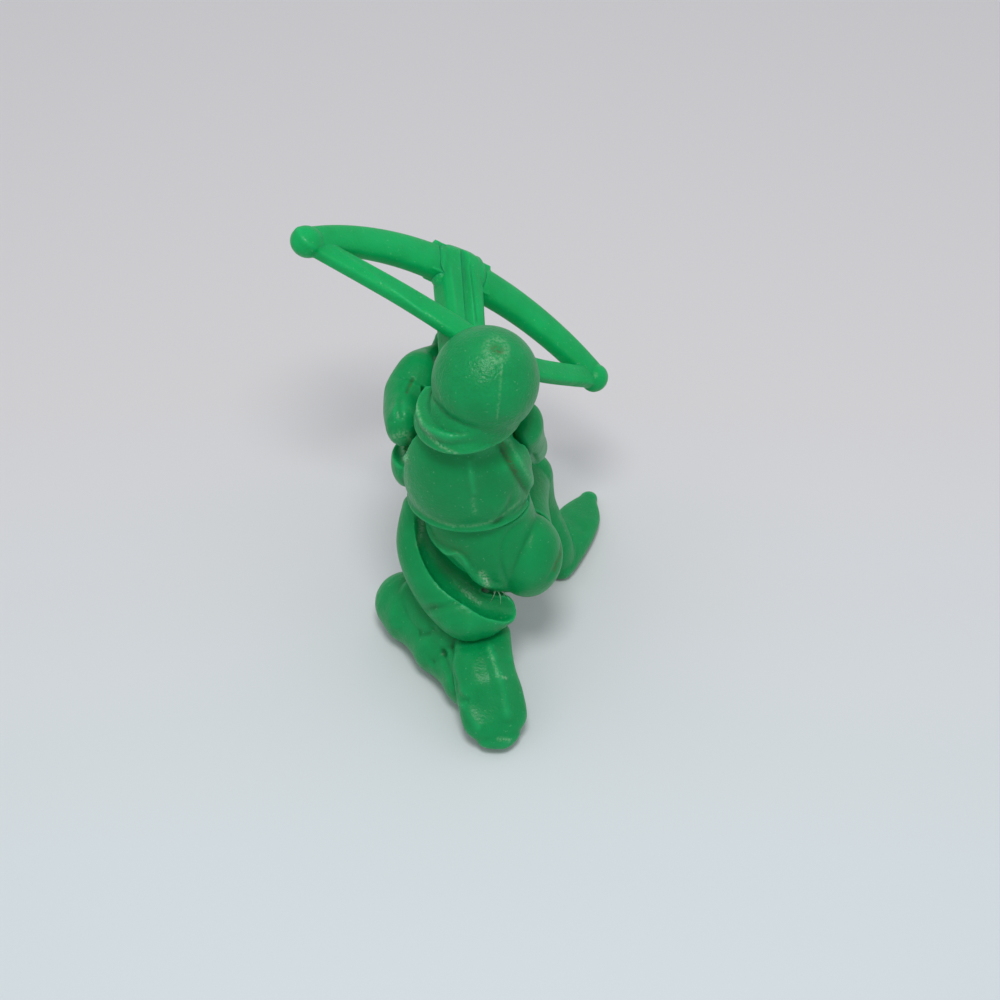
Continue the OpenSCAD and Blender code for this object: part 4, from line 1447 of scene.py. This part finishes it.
@dataclass
class KneelingLeg(Moulding):
    """The folded left leg: knee and shin along the floor, and the boot turned up behind with its sole out."""

    name: ClassVar[str] = "left_leg"
    body: ClassVar[str] = "lower_body"

    ankle: Point = (0.3, 5.4, 2.914)
    knee: Point = (-7.694, 16.403, 2.914)
    knee_rise: float = 0.15
    shin_d: float = 6.2
    knee_d: float = 6.6
    shin_stations: int = 9
    folds: int = 5
    fold_depth: float = 0.22
    post_ring: float = 1.0
    post_foot: float = 2.0
    post_chamfer: float = 0.05
    thigh_at: float = 5.0
    boot_heel: Point = (0.292, 6.46, 5.974)
    boot_toe: Point = (1.85, -0.1, 1.3)
    boot_w: float = 7.0

    def forms(self) -> list[Skin]:
        """The shin with the folds of its legging, the thigh, the boot, and the peg's foot.

        The shin's half thickness grows evenly from ankle to knee, and a sine adds half a wave for each fold.

        Returns:
            The forms.
        """
        share = np.linspace(0, 1, self.shin_stations)[:, None]
        spots = self.shin_spots(share) + share * np.array([0.0, 0.0, self.knee_rise])
        half = self.shin_d / 2 + (self.knee_d - self.shin_d) / 2 * share
        half = half + self.fold_depth * np.sin(self.folds * np.pi * share)
        shin = loft(np.column_stack([spots, half, half]))
        x, y, z = self.ankle
        instep = ball((x + 0.2, y - 0.6, z + 0.2), (3.1, 3.1, 0.52 * self.shin_d))
        post, top = self.post()
        foot = rod(post, LAYOUT.leg_peg[0] + self.post_ring, self.post_foot, top, self.post_chamfer)
        return [shin, self.thigh(), *self.boot(), instep, foot]

    def shin_spots(self, share: Array) -> Array:
        """Points on the straight line from ankle to knee, 0 at the ankle and 1 at the knee."""
        return np.array(self.ankle) + share * (np.array(self.knee) - np.array(self.ankle))

    def post(self) -> tuple[Placing, float]:
        """The frame on the floor under the peg, and the height of the post that carries it."""
        x, y, hem = LAYOUT.leg_peg_at
        return Placing.of((x, y, 0.0)), hem - LAYOUT.gap

    def thigh(self) -> Skin:
        """The soft roll of the folded thigh, which lies on the shin and closes the room under the hem.

        Returns:
            The roll.
        """
        spots = self.shin_spots(np.array([0.4, 0.62, 0.92])[:, None])
        spots = spots + np.array([0.45, 0.35, self.thigh_at - self.ankle[2]])
        half = np.array([[2.5, 2.42], [2.7, 2.42], [2.4, 2.36]])
        return loft(np.column_stack([spots, half]), ends=(0.8, 0.6))

    def boot(self) -> list[Skin]:
        """The boot from heel to toe, and the shaft's tongue that tucks under the cuff.

        Returns:
            The boot and the tongue.
        """
        (hx, hy, hz), (tx, ty, tz), w = self.boot_heel, self.boot_toe, self.boot_w
        mx, my, mz = (hx + tx) / 2, (hy + ty) / 2, (hz + tz) / 2
        boot = loft([
            [hx - 0.2, hy + 1.3, hz - 0.1, 0.36 * w, 1.2],
            [hx - 0.1, hy, hz, 0.43 * w, 1.5],
            [hx + 0.3, hy - 1.8, hz - 1.2, 0.46 * w, 2.2],
            [mx, my, mz, 0.48 * w, 2.1],
            [mx + 0.5, my - 2.0, mz - 1.35, 0.46 * w, 1.75],
            [tx, ty + 0.3, tz + 0.15, 0.32 * w, 1.25],
        ], squareness=0.9, ends=(0.7, 1.0))
        tongue = loft([
            [hx + 0.2, hy - 0.6, hz - 0.1, 0.42 * w, 1.5],
            [hx, hy + 1.0, hz + 0.05, 0.42 * w, 1.42],
            [hx, hy + 3.4, hz + 0.05, 0.4 * w, 1.4],
        ], squareness=0.9)
        return [boot, tongue]

    def steps(self) -> list[tuple[Step, Skin]]:
        """The flat on the floor, and the peg.

        Returns:
            Each step with its tool.
        """
        far = LAYOUT.past
        diameter, length = LAYOUT.leg_peg
        post, top = self.post()
        peg = rod(post, diameter, top - LAYOUT.peg_root, top + LAYOUT.gap + length)
        return [(Step.CUT, block((-far, -far, -far), (far, far, 0.0))), (Step.ADD, peg)]

    def flats(self) -> list[Flat]:
        """The floor."""
        return [Flat((0.0, 0.0, 0.0), DOWN)]

    def marks(self) -> list[Relief]:
        """The sole's ridge, dip and welt, the crease at the ankle and folds along the shin.

        Returns:
            The marks.
        """
        sole_ridge = Mark(((486, 640), (496, 668), (503, 692), (508, 724)), 7.5, 0.42, 0.15)
        sole_dip = Dent((478, 703), (10, 14), -0.22, -20.0)
        toe = Dent((508, 748), (12, 6), 0.25)
        welt = Mark(((462, 700), (470, 716), (482, 732)), 5.0, 0.16)
        ankle_crease = Mark(((454, 690), (462, 699), (470, 702)), 3.5, -0.2)
        sole_swell = Dent((474, 668), (9, 16), 0.1, -15.0)
        upper_fold = Mark(((416, 634), (426, 634), (436, 626)), 5.0, -0.22)
        lower_fold = Mark(((430, 664), (438, 658), (446, 648)), 5.0, -0.24)
        boot_edge = Mark(((441, 648), (447, 664), (458, 694)), 3.5, -0.25)
        knee_swell = Mark(((400, 590), (392, 612), (398, 632)), 6.0, 0.12)
        return [sole_ridge, sole_dip, toe, welt, ankle_crease, sole_swell, upper_fold, lower_fold,
                boot_edge, knee_swell]

    def stains_and_highlights(self) -> list[StainAndHighlight]:
        """A rubbed toe, a pale line and a nick on the sole's ridge, and a painted highlight beside the cuff.

        Returns:
            The stains and the painted highlight.
        """
        toe = StainAndHighlight(((499, 739), (510, 740)), 1.8, 0.4, Trace.SCUFF_AND_HIGHLIGHT)
        ridge = StainAndHighlight(((489, 648), (499, 676)), 1.4, 0.2, Trace.SCUFF_AND_HIGHLIGHT)
        nick = StainAndHighlight(((502, 677), (506, 678)), 1.4, 0.5, Trace.SCUFF_AND_HIGHLIGHT)
        # Painted highlight where the light catches the cuff's lower rim
        cuff_highlight = StainAndHighlight(((470, 633), (477, 634)), 2.5, 0.5, Trace.SCUFF_AND_HIGHLIGHT)
        return [toe, ridge, nick, cuff_highlight]


@dataclass
class StandingLeg(Moulding):
    """The raised right leg in its legging, and the long pointed shoe."""

    name: ClassVar[str] = "right_leg"
    body: ClassVar[str] = "lower_body"

    thigh_l: float = 8.0
    calf_d: float = 4.8
    knee_h: float = 13.0
    shoe_heel: Point = (7.6, 22.4, 0.0)
    shoe_l: float = 14.0
    shoe_w: float = 5.0
    toe_out: float = 20.0

    def forms(self) -> list[Skin]:
        """Thigh, calf, and the shoe.

        Returns:
            The forms.
        """
        sx, sy, sz = LAYOUT.thigh_seat
        kx, ky = sx + 0.6, sy + self.thigh_l
        t, c, kh = LAYOUT.thigh_d, self.calf_d, self.knee_h
        hx, hy, _ = self.shoe_heel
        thigh = loft([
            [sx, sy - 0.6, sz, 0.5 * t, 0.5 * t],
            [sx - 0.1, sy + 0.4 * self.thigh_l, sz, 0.45 * t, 0.47 * t],
            [kx - 0.4, ky - 0.2 * self.thigh_l, kh - 0.1, 0.42 * t, 0.43 * t],
            [kx - 0.2, ky, kh - 0.2, 0.39 * t, 0.4 * t],
        ], ends=(0, 0.9))
        calf = loft([
            [kx, ky, kh - 0.2, 0.42 * t, 0.42 * t],
            [kx + 0.5, ky - 0.3, 0.66 * kh, 0.52 * c, 0.55 * c],
            [hx - 0.2, hy + 1.4, 0.36 * kh, 0.43 * c, 0.45 * c],
            [hx + 0.2, hy + 1.6, 2, 0.45 * c, 0.5 * c],
        ], FORWARD)
        return [thigh, calf, self.shoe()]

    def shoe(self) -> Skin:
        """The shoe along its own line, turned out from straight ahead.

        Returns:
            The shoe.
        """
        hx, hy, _ = self.shoe_heel
        way = np.array([np.sin(np.radians(self.toe_out)), np.cos(np.radians(self.toe_out))])
        w, length = self.shoe_w, self.shoe_l
        places = np.array([2.0, 0.42 * length, 0.65 * length, length - 2.4])[:, None]
        # Height of the middle, half width and half height
        sole = np.array([
            [1.35, 0.44 * w, 1.55],
            [1.2, 0.5 * w, 1.4],
            [0.85, 0.44 * w, 1.0],
            [0.6, 0.2 * w, 0.7],
        ])
        heel = np.array([[hx + 0.2, hy + 0.6, 1.25, 0.38 * w, 1.4]])
        rows = np.vstack([heel, np.column_stack([places * way + np.array([hx, hy]), sole])])
        return loft(rows, squareness=0.9, ends=(0.8, 1.8))

    def steps(self) -> list[tuple[Step, Skin]]:
        """The flat that seats on the hips, the flat on the floor, and the peg.

        Returns:
            Each step with its tool.
        """
        far = LAYOUT.past
        _, y, z = LAYOUT.thigh_seat
        diameter, length = LAYOUT.leg_peg
        behind = Placing.of(LAYOUT.thigh_seat, (90.0, 0.0, 0.0))
        return [
            (Step.CUT, block((-far, y - far, z - LAYOUT.thigh_d), (far, y + LAYOUT.gap, z + far))),
            (Step.CUT, block((-far, -far, -far), (far, far, 0.0))),
            (Step.ADD, rod(behind, diameter, -LAYOUT.peg_root, length)),
        ]

    def flats(self) -> list[Flat]:
        """The floor."""
        return [Flat((0.0, 0.0, 0.0), DOWN)]

    def marks(self) -> list[Relief]:
        """A soft fold across the shoe and a swelling along it.

        Returns:
            The marks.
        """
        fold = Mark(((560, 512), (574, 520), (588, 534)), 5.0, -0.14)
        swell = Dent((572, 545), (8, 18), 0.1, 20.0)
        return [fold, swell]


@dataclass
class CrossbowStock(Moulding):
    """The stock: a straight tiller with broken edges, a bolt groove, a nut and the grip peg."""

    name: ClassVar[str] = "crossbow_stock"
    body: ClassVar[str] = "crossbow"
    slot: ClassVar[Slot] = Slot.CROSSBOW

    voxel: float = 0.08
    softness: float = 0.36
    tail: float = -14.6
    groove_d: float = 1.1
    groove_from_nut: float = 1.6
    groove_rise: float = 0.2
    slot_play: float = 0.04

    def forms(self) -> list[Skin]:
        """The tiller with a swollen nose, the nut across its tail, and the cheeks where the bow passes.

        Returns:
            The forms.
        """
        half_w, half_h = LAYOUT.stock[0] / 2, LAYOUT.stock[2] / 2
        nose = LAYOUT.stock_nose
        tiller = loft([
            [0, self.tail + 0.15, -0.1, 0.92 * half_w, 0.82 * half_h],
            [0, self.tail + 0.8, 0, half_w, half_h],
            [0, -7, 0, 0.96 * half_w, half_h],
            [0, -2.6, 0, half_w, half_h],
            [0, 0.4, 0, half_w, half_h],
            [0, nose - 1.1, 0, 0.97 * half_w, 0.95 * half_h],
            [0, nose - 0.35, -0.05, 0.78 * half_w, 0.7 * half_h],
        ], squareness=0.42, ends=(0.12, 0.3))
        nut = loft([
            [-1.7, LAYOUT.nut_y + 0.2, half_h - 0.1, 0.95, 0.55],
            [1.7, LAYOUT.nut_y + 0.2, half_h - 0.1, 0.95, 0.55],
        ], squareness=0.7, ends=(0.5, 0.5))
        cheeks = [ball((side * (half_w - 0.15), 0.1, 0.0), (0.95, 2.7, 1.42)) for side in (-1, 1)]
        return [LAYOUT.aim().move(form) for form in [tiller, nut, *cheeks]]

    def steps(self) -> list[tuple[Step, Skin]]:
        """The grip peg, the bolt groove and the slot for the bow.

        Returns:
            Each step with its tool.
        """
        diameter, length = LAYOUT.grip_peg
        half_h = LAYOUT.stock[2] / 2
        down = LAYOUT.grip().then(Placing.of((0, 0, 0), (180.0, 0, 0)))
        peg = rod(down, diameter, -LAYOUT.peg_root, half_h + length)
        start = (0, LAYOUT.nut_y + self.groove_from_nut, half_h + self.groove_rise)
        along = LAYOUT.aim().then(Placing.of(start, (-90.0, 0, 0)))
        far = LAYOUT.past / 2
        half_d, half_t = (size / 2 + self.slot_play for size in LAYOUT.bow)
        return [
            (Step.ADD, peg),
            (Step.CUT, rod(along, self.groove_d, 0.0, LAYOUT.past)),
            (Step.CUT, block((-far, -half_d, -half_t), (far, half_d, half_t), LAYOUT.skewed())),
        ]

    def marks(self) -> list[Relief]:
        """The moulding's edge lines along the tiller.

        Returns:
            The marks.
        """
        groove_edge = Mark(((470, 262), (474, 290), (478, 325)), 1.6, -0.15, 0.1)
        side_edge = Mark(((450, 262), (453, 290), (458, 330)), 2.0, 0.1)
        return [groove_edge, side_edge]


@dataclass
class CrossbowBow(Moulding):
    """The bow in one moulding: tang, swept limbs, end knobs, and the string drawn to the nut as two bars."""

    name: ClassVar[str] = "crossbow_bow"
    body: ClassVar[str] = "crossbow"
    slot: ClassVar[Slot] = Slot.CROSSBOW

    voxel: float = 0.08
    softness: float = 0.42
    span: float = 34.6
    sag: float = 5.3
    string_w: float = 2.4
    string_t: float = 1.5
    string_bend: float = 0.4
    string_from_nut: float = 1.3
    string_past_stock: float = 0.9
    knob_d: float = 3.4
    left_knob: Point = (1.0, 0.94, 0.9)
    right_knob: Point = (0.8, 0.86, 0.88)
    root_x: float = 2.91

    def limb(self, side: int) -> Skin:
        """A limb on a circle through the middle and the tip: r sin w across and r (1 - cos w) back.

        Args:
            side: Left for -1 and right for 1.

        Returns:
            The limb.
        """
        depth, thick = LAYOUT.bow
        sweep = 2 * np.arctan(2 * self.sag / self.span)
        r = self.span / 2 / np.sin(sweep)
        share = np.linspace(0, 1, 6)
        start = np.arcsin(self.root_x / r)
        w = start + share * (sweep - start)
        rows = [side * r * np.sin(w), -r * (1 - np.cos(w)), 0 * w, depth * (0.5 - 0.13 * share),
                thick * (0.64 - 0.09 * share)]
        return loft(np.column_stack(rows), squareness=0.75, ends=(0.3, 0.5))

    def string(self, side: int) -> Skin:
        """A flat bar from the tip to the middle of the string in front of the nut, level above the stock.

        Args:
            side: Left for -1 and right for 1.

        Returns:
            The bar.
        """
        meet_y = LAYOUT.nut_y + self.string_from_nut + self.string_w / 2 + LAYOUT.gap
        turn = np.radians(LAYOUT.bow_skew)
        lift = LAYOUT.stock[2] / 2 + self.string_t / 2 + LAYOUT.gap
        meet = np.array([meet_y * np.sin(turn), meet_y * np.cos(turn), lift])
        tip = np.array([side * self.span / 2, -self.sag, 0.0])
        # The two bars bend by different amounts, as in the picture
        bends, ahead = (1, 0.7) if side < 0 else (-3, 0.1)
        half = (tip + meet) / 2 + np.array([0.0, self.string_bend * bends, 0.0])
        edge = meet + np.array([side * (LAYOUT.stock[0] / 2 + self.string_past_stock), ahead, 0.0])
        w, t = self.string_w, self.string_t / 2
        rows = [[*tip, 0.45 * w, t], [*half, 0.5 * w, t], [*edge, 0.55 * w, t], [*meet, 0.55 * w, t]]
        return loft(rows, squareness=0.6, ends=(0, 0))

    def forms(self) -> list[Skin]:
        """Tang, and on each side the limb, the string bar and the knob.

        Returns:
            The forms.
        """
        tang = self.root_x + 0.5
        half_d, half_t = (size / 2 for size in LAYOUT.bow)
        forms = [block((-tang, -half_d, -half_t), (tang, half_d, half_t))]
        r = self.knob_d / 2
        for side, knob in ((-1, self.left_knob), (1, self.right_knob)):
            tip = (side * self.span / 2, -self.sag, 0.0)
            forms += [self.limb(side), self.string(side), ball(tip, tuple(share * r for share in knob))]
        return [LAYOUT.skewed().move(form) for form in forms]

    def marks(self) -> list[Relief]:
        """A swelling on the left knob and the raised edge of the left string bar.

        Returns:
            The marks.
        """
        knob = Mark(((296, 224), (304, 240), (322, 252)), 4.0, 0.12)
        string_edge = Mark(((336, 250), (380, 280), (430, 318)), 2.0, 0.08)
        return [knob, string_edge]


@dataclass
class FlashWhiskers:
    """A few hairs of torn flash that hang under the seat."""

    name: ClassVar[str] = "flash_whiskers"
    body: ClassVar[str] = "lower_body"

    root: Point = (1.9, 11.0, 11.0)
    inset: Point = (-0.4, 0.0, 0.3)
    spacing: float = 0.25
    bend: Point = (0.12, 0.0, 0.1)
    thick: float = 0.05
    paleness: float = 0.8
    reaches: tuple[Point, ...] = ((-0.5, -0.6, -1.2), (0.3, -0.9, -1.0), (0.9, -0.5, -0.9), (0.1, -0.3, -1.5))

    def hairs(self) -> list[Skin]:
        """Thin lofts that taper from root to tip, each with a bend halfway.

        Returns:
            One skin for each hair.
        """
        t = self.thick
        hairs = []
        for k, reach in enumerate(np.array(self.reaches)):
            shift = np.array([self.spacing * k, 0.0, 0.0]) + np.array(self.inset)
            start = np.array(self.root) + shift
            bend = start + 0.5 * reach + np.array(self.bend)
            stations = [[*start, 2 * t, 2 * t], [*bend, t, t], [*(start + reach), 0.4 * t, 0.4 * t]]
            hairs.append(loft(stations, FORWARD))
        return hairs

    def build(self, finish: bpy.types.Material) -> bpy.types.Object:
        """Makes the hairs, dresses them and puts them on the body of the hips.

        Args:
            finish: The plastic.

        Returns:
            The finished piece.
        """
        skin = joined(self.hairs())
        moved = Skin((skin.points - MIDDLE) * MILLIMETRE, skin.quads, skin.tris)
        obj = as_object(self.name, moved)
        obj.data.shade_smooth()
        for key in TRACES:
            values = np.full(len(moved.points), self.paleness if key == Trace.SCUFF_AND_HIGHLIGHT.value else 0.0)
            obj.data.attributes.new(key, "FLOAT", "POINT").data.foreach_set("value", values)
        obj.data.materials.append(finish)
        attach(obj, self.body)
        LOG.info("%s: %d hairs", obj.name, len(self.reaches))
        return obj


def linear(hex_colour: str) -> tuple[float, float, float, float]:
    """An sRGB hex colour as linear light.

    Args:
        hex_colour: The colour as a hash sign and six hex digits.

    Returns:
        Linear red, green and blue, and an alpha of 1.
    """
    values = np.array([int(hex_colour[i:i + 2], 16) for i in (1, 3, 5)]) / 255.0
    low, high = values / 12.92, ((values + 0.055) / 1.055) ** 2.4
    red, green, blue = np.where(values <= 0.04045, low, high)
    return float(red), float(green), float(blue), 1.0


def add(tree: bpy.types.NodeTree, kind: str, inputs: dict[Any, Any], **settings: Any) -> bpy.types.Node:
    """Adds a node with its settings, socket values and links.

    Args:
        tree: The material's nodes.
        kind: The node's type.
        inputs: A value or another node's output for each input socket.
        settings: The node's own properties.

    Returns:
        The node.
    """
    node = tree.nodes.new(kind)
    for key, value in settings.items():
        setattr(node, key, value)
    for key, value in inputs.items():
        if isinstance(value, bpy.types.NodeSocket):
            tree.links.new(value, node.inputs[key])
        else:
            node.inputs[key].default_value = value
    return node


@dataclass(frozen=True)
class MouldedPolyethylene:
    """Injection-moulded soft polyethylene: waxy, lit from within, with a grain that breaks up its gloss.

    Painted shade darkens it in the crevices. Handling leaves it paler and duller on rubbed edges, with dust
    specks all over.
    """

    name: str
    colour: str
    cloud: str
    # Painted shade: the darker colour that the crevices are painted towards
    deep: str
    rubbed: str
    dirt: str = "#4d4a2c"
    # Pale scuffs, and painted highlights where the light catches a rim
    scuff: str = "#a9c9a6"
    dust: str = "#8fd0a8"
    cloud_mm: float = 3.5
    grain_mm: float = 0.26
    ripple_mm: float = 1.6
    speck_mm: float = 0.32
    crevice_shade_share: float = 0.75
    edge_share: float = 0.45
    dust_share: float = 0.2
    roughness: tuple[float, float] = (0.3, 0.46)
    wear_dulls: float = 0.3
    ripple_height: float = 2.2
    bump_m: float = 0.0001
    ior: float = 1.51
    specular: float = 0.14
    glow: float = 0.55
    glow_m: float = 0.0016
    # How far red, green and blue light travel inside, in shares of glow_m
    glow_spread: Point = (0.35, 1.0, 0.55)
    coat: float = 0.2
    coat_roughness: float = 0.2

    def patterns(self, tree: bpy.types.NodeTree) -> dict[str, bpy.types.NodeSocket]:
        """Colour clouds, mould grain, ripples and specks as noise at their real sizes.

        Args:
            tree: The material's nodes.

        Returns:
            Each pattern's output, by its name.
        """
        place = add(tree, "ShaderNodeTexCoord", {}).outputs["Object"]
        noise = {}
        for key, size, detail in (("cloud", self.cloud_mm, 3.0), ("grain", self.grain_mm, 2.0),
                                  ("ripple", self.ripple_mm, 2.0), ("speck", self.speck_mm, 1.0)):
            scale = 1.0 / (size * MILLIMETRE)
            sockets = {"Vector": place, "Scale": scale, "Detail": detail, "Roughness": 0.55}
            noise[key] = add(tree, "ShaderNodeTexNoise", sockets).outputs["Fac"]
        return noise

    def paint(
        self,
        tree: bpy.types.NodeTree,
        noise: dict[str, bpy.types.NodeSocket],
        trace: dict[str, bpy.types.NodeSocket],
    ) -> Any:
        """Lays the colours over one another: clouds, painted shade in crevices, rubbed edges, dirt, scuffs
        with painted highlights, and dust.

        Args:
            tree: The material's nodes.
            noise: The patterns.
            trace: What the skins' attributes say at each point.

        Returns:
            The colour that the shader takes.
        """
        shares = {}
        for key, low, high in (("cloud", 0.35, 0.7), ("grain", 0.35, 0.62), ("speck", 0.7, 0.78)):
            sockets = {"Value": noise[key], "From Min": low, "From Max": high}
            shares[key] = add(tree, "ShaderNodeMapRange", sockets).outputs[0]
        layers = [
            (shares["cloud"], 1.0, self.cloud),
            # Painted shade: the crevices are darkened towards the deep colour
            (trace["crevice"], self.crevice_shade_share, self.deep),
            (trace["edge"], self.edge_share, self.rubbed),
            (trace["dirt"], shares["grain"], self.dirt),
            # Pale scuffs, with a few painted highlights among them
            (trace["scuff"], shares["grain"], self.scuff),
            (shares["speck"], self.dust_share, self.dust),
        ]
        colour: Any = linear(self.colour)
        for where, strength, layer in layers:
            factor = add(tree, "ShaderNodeMath", {0: where, 1: strength}, operation="MULTIPLY").outputs[0]
            sockets = {"Fac": factor, "Color1": colour, "Color2": linear(layer)}
            colour = add(tree, "ShaderNodeMixRGB", sockets).outputs["Color"]
        return colour

    def material(self) -> bpy.types.Material:
        """Makes the finish.

        Returns:
            The material, which reads the skins' attributes for crevices, edges, dirt, scuffs and painted
            highlights, and grain.
        """
        material = bpy.data.materials.new(self.name)
        material.use_nodes = True
        tree = material.node_tree
        tree.nodes.clear()
        noise = self.patterns(tree)
        trace = {}
        for key in TRACES:
            trace[key] = add(tree, "ShaderNodeAttribute", {}, attribute_name=key).outputs["Fac"]
        worn = add(tree, "ShaderNodeMath", {0: trace["dirt"], 1: trace["scuff"]}, operation="MAXIMUM")
        low, high = self.roughness
        gloss = add(tree, "ShaderNodeMapRange", {"Value": noise["ripple"], "To Min": low, "To Max": high})
        wear = {0: worn.outputs[0], 1: self.wear_dulls, 2: gloss.outputs[0]}
        dull = add(tree, "ShaderNodeMath", wear, operation="MULTIPLY_ADD")
        waves = {0: noise["ripple"], 1: self.ripple_height, 2: noise["grain"]}
        heights = add(tree, "ShaderNodeMath", waves, operation="MULTIPLY_ADD").outputs[0]
        relief = {"Strength": trace["grain"], "Distance": self.bump_m, "Height": heights}
        bump = add(tree, "ShaderNodeBump", relief)
        coat = add(tree, "ShaderNodeMath", {0: trace["grain"], 1: self.coat}, operation="MULTIPLY")
        shader = add(tree, "ShaderNodeBsdfPrincipled", {
            "Base Color": self.paint(tree, noise, trace),
            "Roughness": dull.outputs[0],
            "IOR": self.ior,
            "Specular IOR Level": self.specular,
            "Subsurface Weight": self.glow,
            "Subsurface Radius": self.glow_spread,
            "Subsurface Scale": self.glow_m,
            "Coat Weight": coat.outputs[0],
            "Coat Roughness": self.coat_roughness,
            "Normal": bump.outputs[0],
            "Coat Normal": bump.outputs[0],
        })
        add(tree, "ShaderNodeOutputMaterial", {"Surface": shader.outputs[0]})
        return material


@dataclass(frozen=True)
class Studio:
    """A plain pale table top under soft light: one broad lamp above the camera's side and an even fill."""

    # Lengths are in metres in the shared frame, apart from key_at, which is in design millimetres
    table: str = "#d2d0d2"
    # Painted light: the near table is tinted cooler, for the cool light that falls there from the camera's
    # side
    table_near_cool_light: str = "#ccd4d7"
    table_half: float = 3.0
    table_roughness: float = 0.6
    near_y: float = -0.035
    far_y: float = 0.03
    key_at: Point = (0.0, -60.0, 250.0)
    key_target: Point = (0.0, 0.0, 0.015)
    key_size: float = 0.075
    key_power: float = 0.3
    fill: float = 0.66
    fill_tint: tuple[float, float, float, float] = (0.95, 0.97, 1.0, 1.0)

    def build(self) -> None:
        """Makes the table, the lamp and the world."""
        self.make_table()
        self.make_key()
        world = bpy.data.worlds.new("fill")
        bpy.context.scene.world = world
        world.use_nodes = True
        sockets = world.node_tree.nodes["Background"].inputs
        sockets["Color"].default_value = self.fill_tint
        sockets["Strength"].default_value = self.fill
        bpy.context.scene.view_settings.view_transform = "Standard"

    def laminate(self) -> bpy.types.Material:
        """Matt laminate: pale and even, with a wide, weak sheen, and painted a little cooler towards the
        camera as painted light.

        Returns:
            The material.
        """
        material = bpy.data.materials.new("matt laminate")
        material.use_nodes = True
        tree = material.node_tree
        tree.nodes.clear()
        place = add(tree, "ShaderNodeTexCoord", {}).outputs["Object"]
        y = add(tree, "ShaderNodeSeparateXYZ", {"Vector": place}).outputs["Y"]
        sockets = {"Value": y, "From Min": self.near_y, "From Max": self.far_y}
        share = add(tree, "ShaderNodeMapRange", sockets).outputs[0]
        sockets = {"Fac": share, "Color1": linear(self.table_near_cool_light), "Color2": linear(self.table)}
        colour = add(tree, "ShaderNodeMixRGB", sockets).outputs["Color"]
        sockets = {"Base Color": colour, "Roughness": self.table_roughness}
        shader = add(tree, "ShaderNodeBsdfPrincipled", sockets)
        add(tree, "ShaderNodeOutputMaterial", {"Surface": shader.outputs[0]})
        return material

    def make_table(self) -> None:
        """A wide flat sheet at floor level."""
        half = self.table_half
        points = [(-half, -half, 0.0), (half, -half, 0.0), (half, half, 0.0), (-half, half, 0.0)]
        mesh = bpy.data.meshes.new("table")
        mesh.from_pydata(points, [], [(0, 1, 2, 3)])
        mesh.materials.append(self.laminate())
        obj = bpy.data.objects.new("table", mesh)
        bpy.context.scene.collection.objects.link(obj)

    def make_key(self) -> None:
        """A disc lamp that looks at the middle of the figure."""
        data = bpy.data.lights.new("key", "AREA")
        data.shape = "DISK"
        data.size = self.key_size
        data.energy = self.key_power
        lamp = bpy.data.objects.new("key", data)
        at = (np.array(self.key_at) - MIDDLE) * MILLIMETRE
        back = unit(at - np.array(self.key_target))
        right = unit(np.cross(np.array(FORWARD), back))
        matrix = np.eye(4)
        matrix[:3, :3] = np.stack([right, np.cross(back, right), back]).T
        matrix[:3, 3] = at
        lamp.matrix_world = Matrix(matrix.tolist())
        bpy.context.scene.collection.objects.link(lamp)


FIGURE_GREEN = MouldedPolyethylene(
    "moulded polyethylene green",
    colour="#018647",
    cloud="#048f4e",
    deep="#00501f",
    rubbed="#22a566",
)
# Painted light: a brighter copy of the figure's green, standing in for light that shines through the thin
# crossbow
CROSSBOW_LIT_GREEN = MouldedPolyethylene(
    "moulded polyethylene bright green",
    colour="#029a51",
    cloud="#06a65a",
    deep="#016331",
    rubbed="#2fb676",
)


def main() -> None:
    """Builds the camera, the studio and each moulding in order."""
    logging.basicConfig(level=logging.INFO, format="%(message)s")
    SIGHT.camera()
    Studio().build()
    finishes = {Slot.FIGURE: FIGURE_GREEN.material(), Slot.CROSSBOW: CROSSBOW_LIT_GREEN.material()}
    pieces = [Helmet(), Head(), Torso(), LeftArm(), RightArm(), Hips(), KneelingLeg(), StandingLeg(),
              CrossbowStock(), CrossbowBow()]
    for piece in pieces:
        piece.build(finishes[piece.slot])
    FlashWhiskers().build(finishes[Slot.FIGURE])


if __name__ == "__main__":
    main()
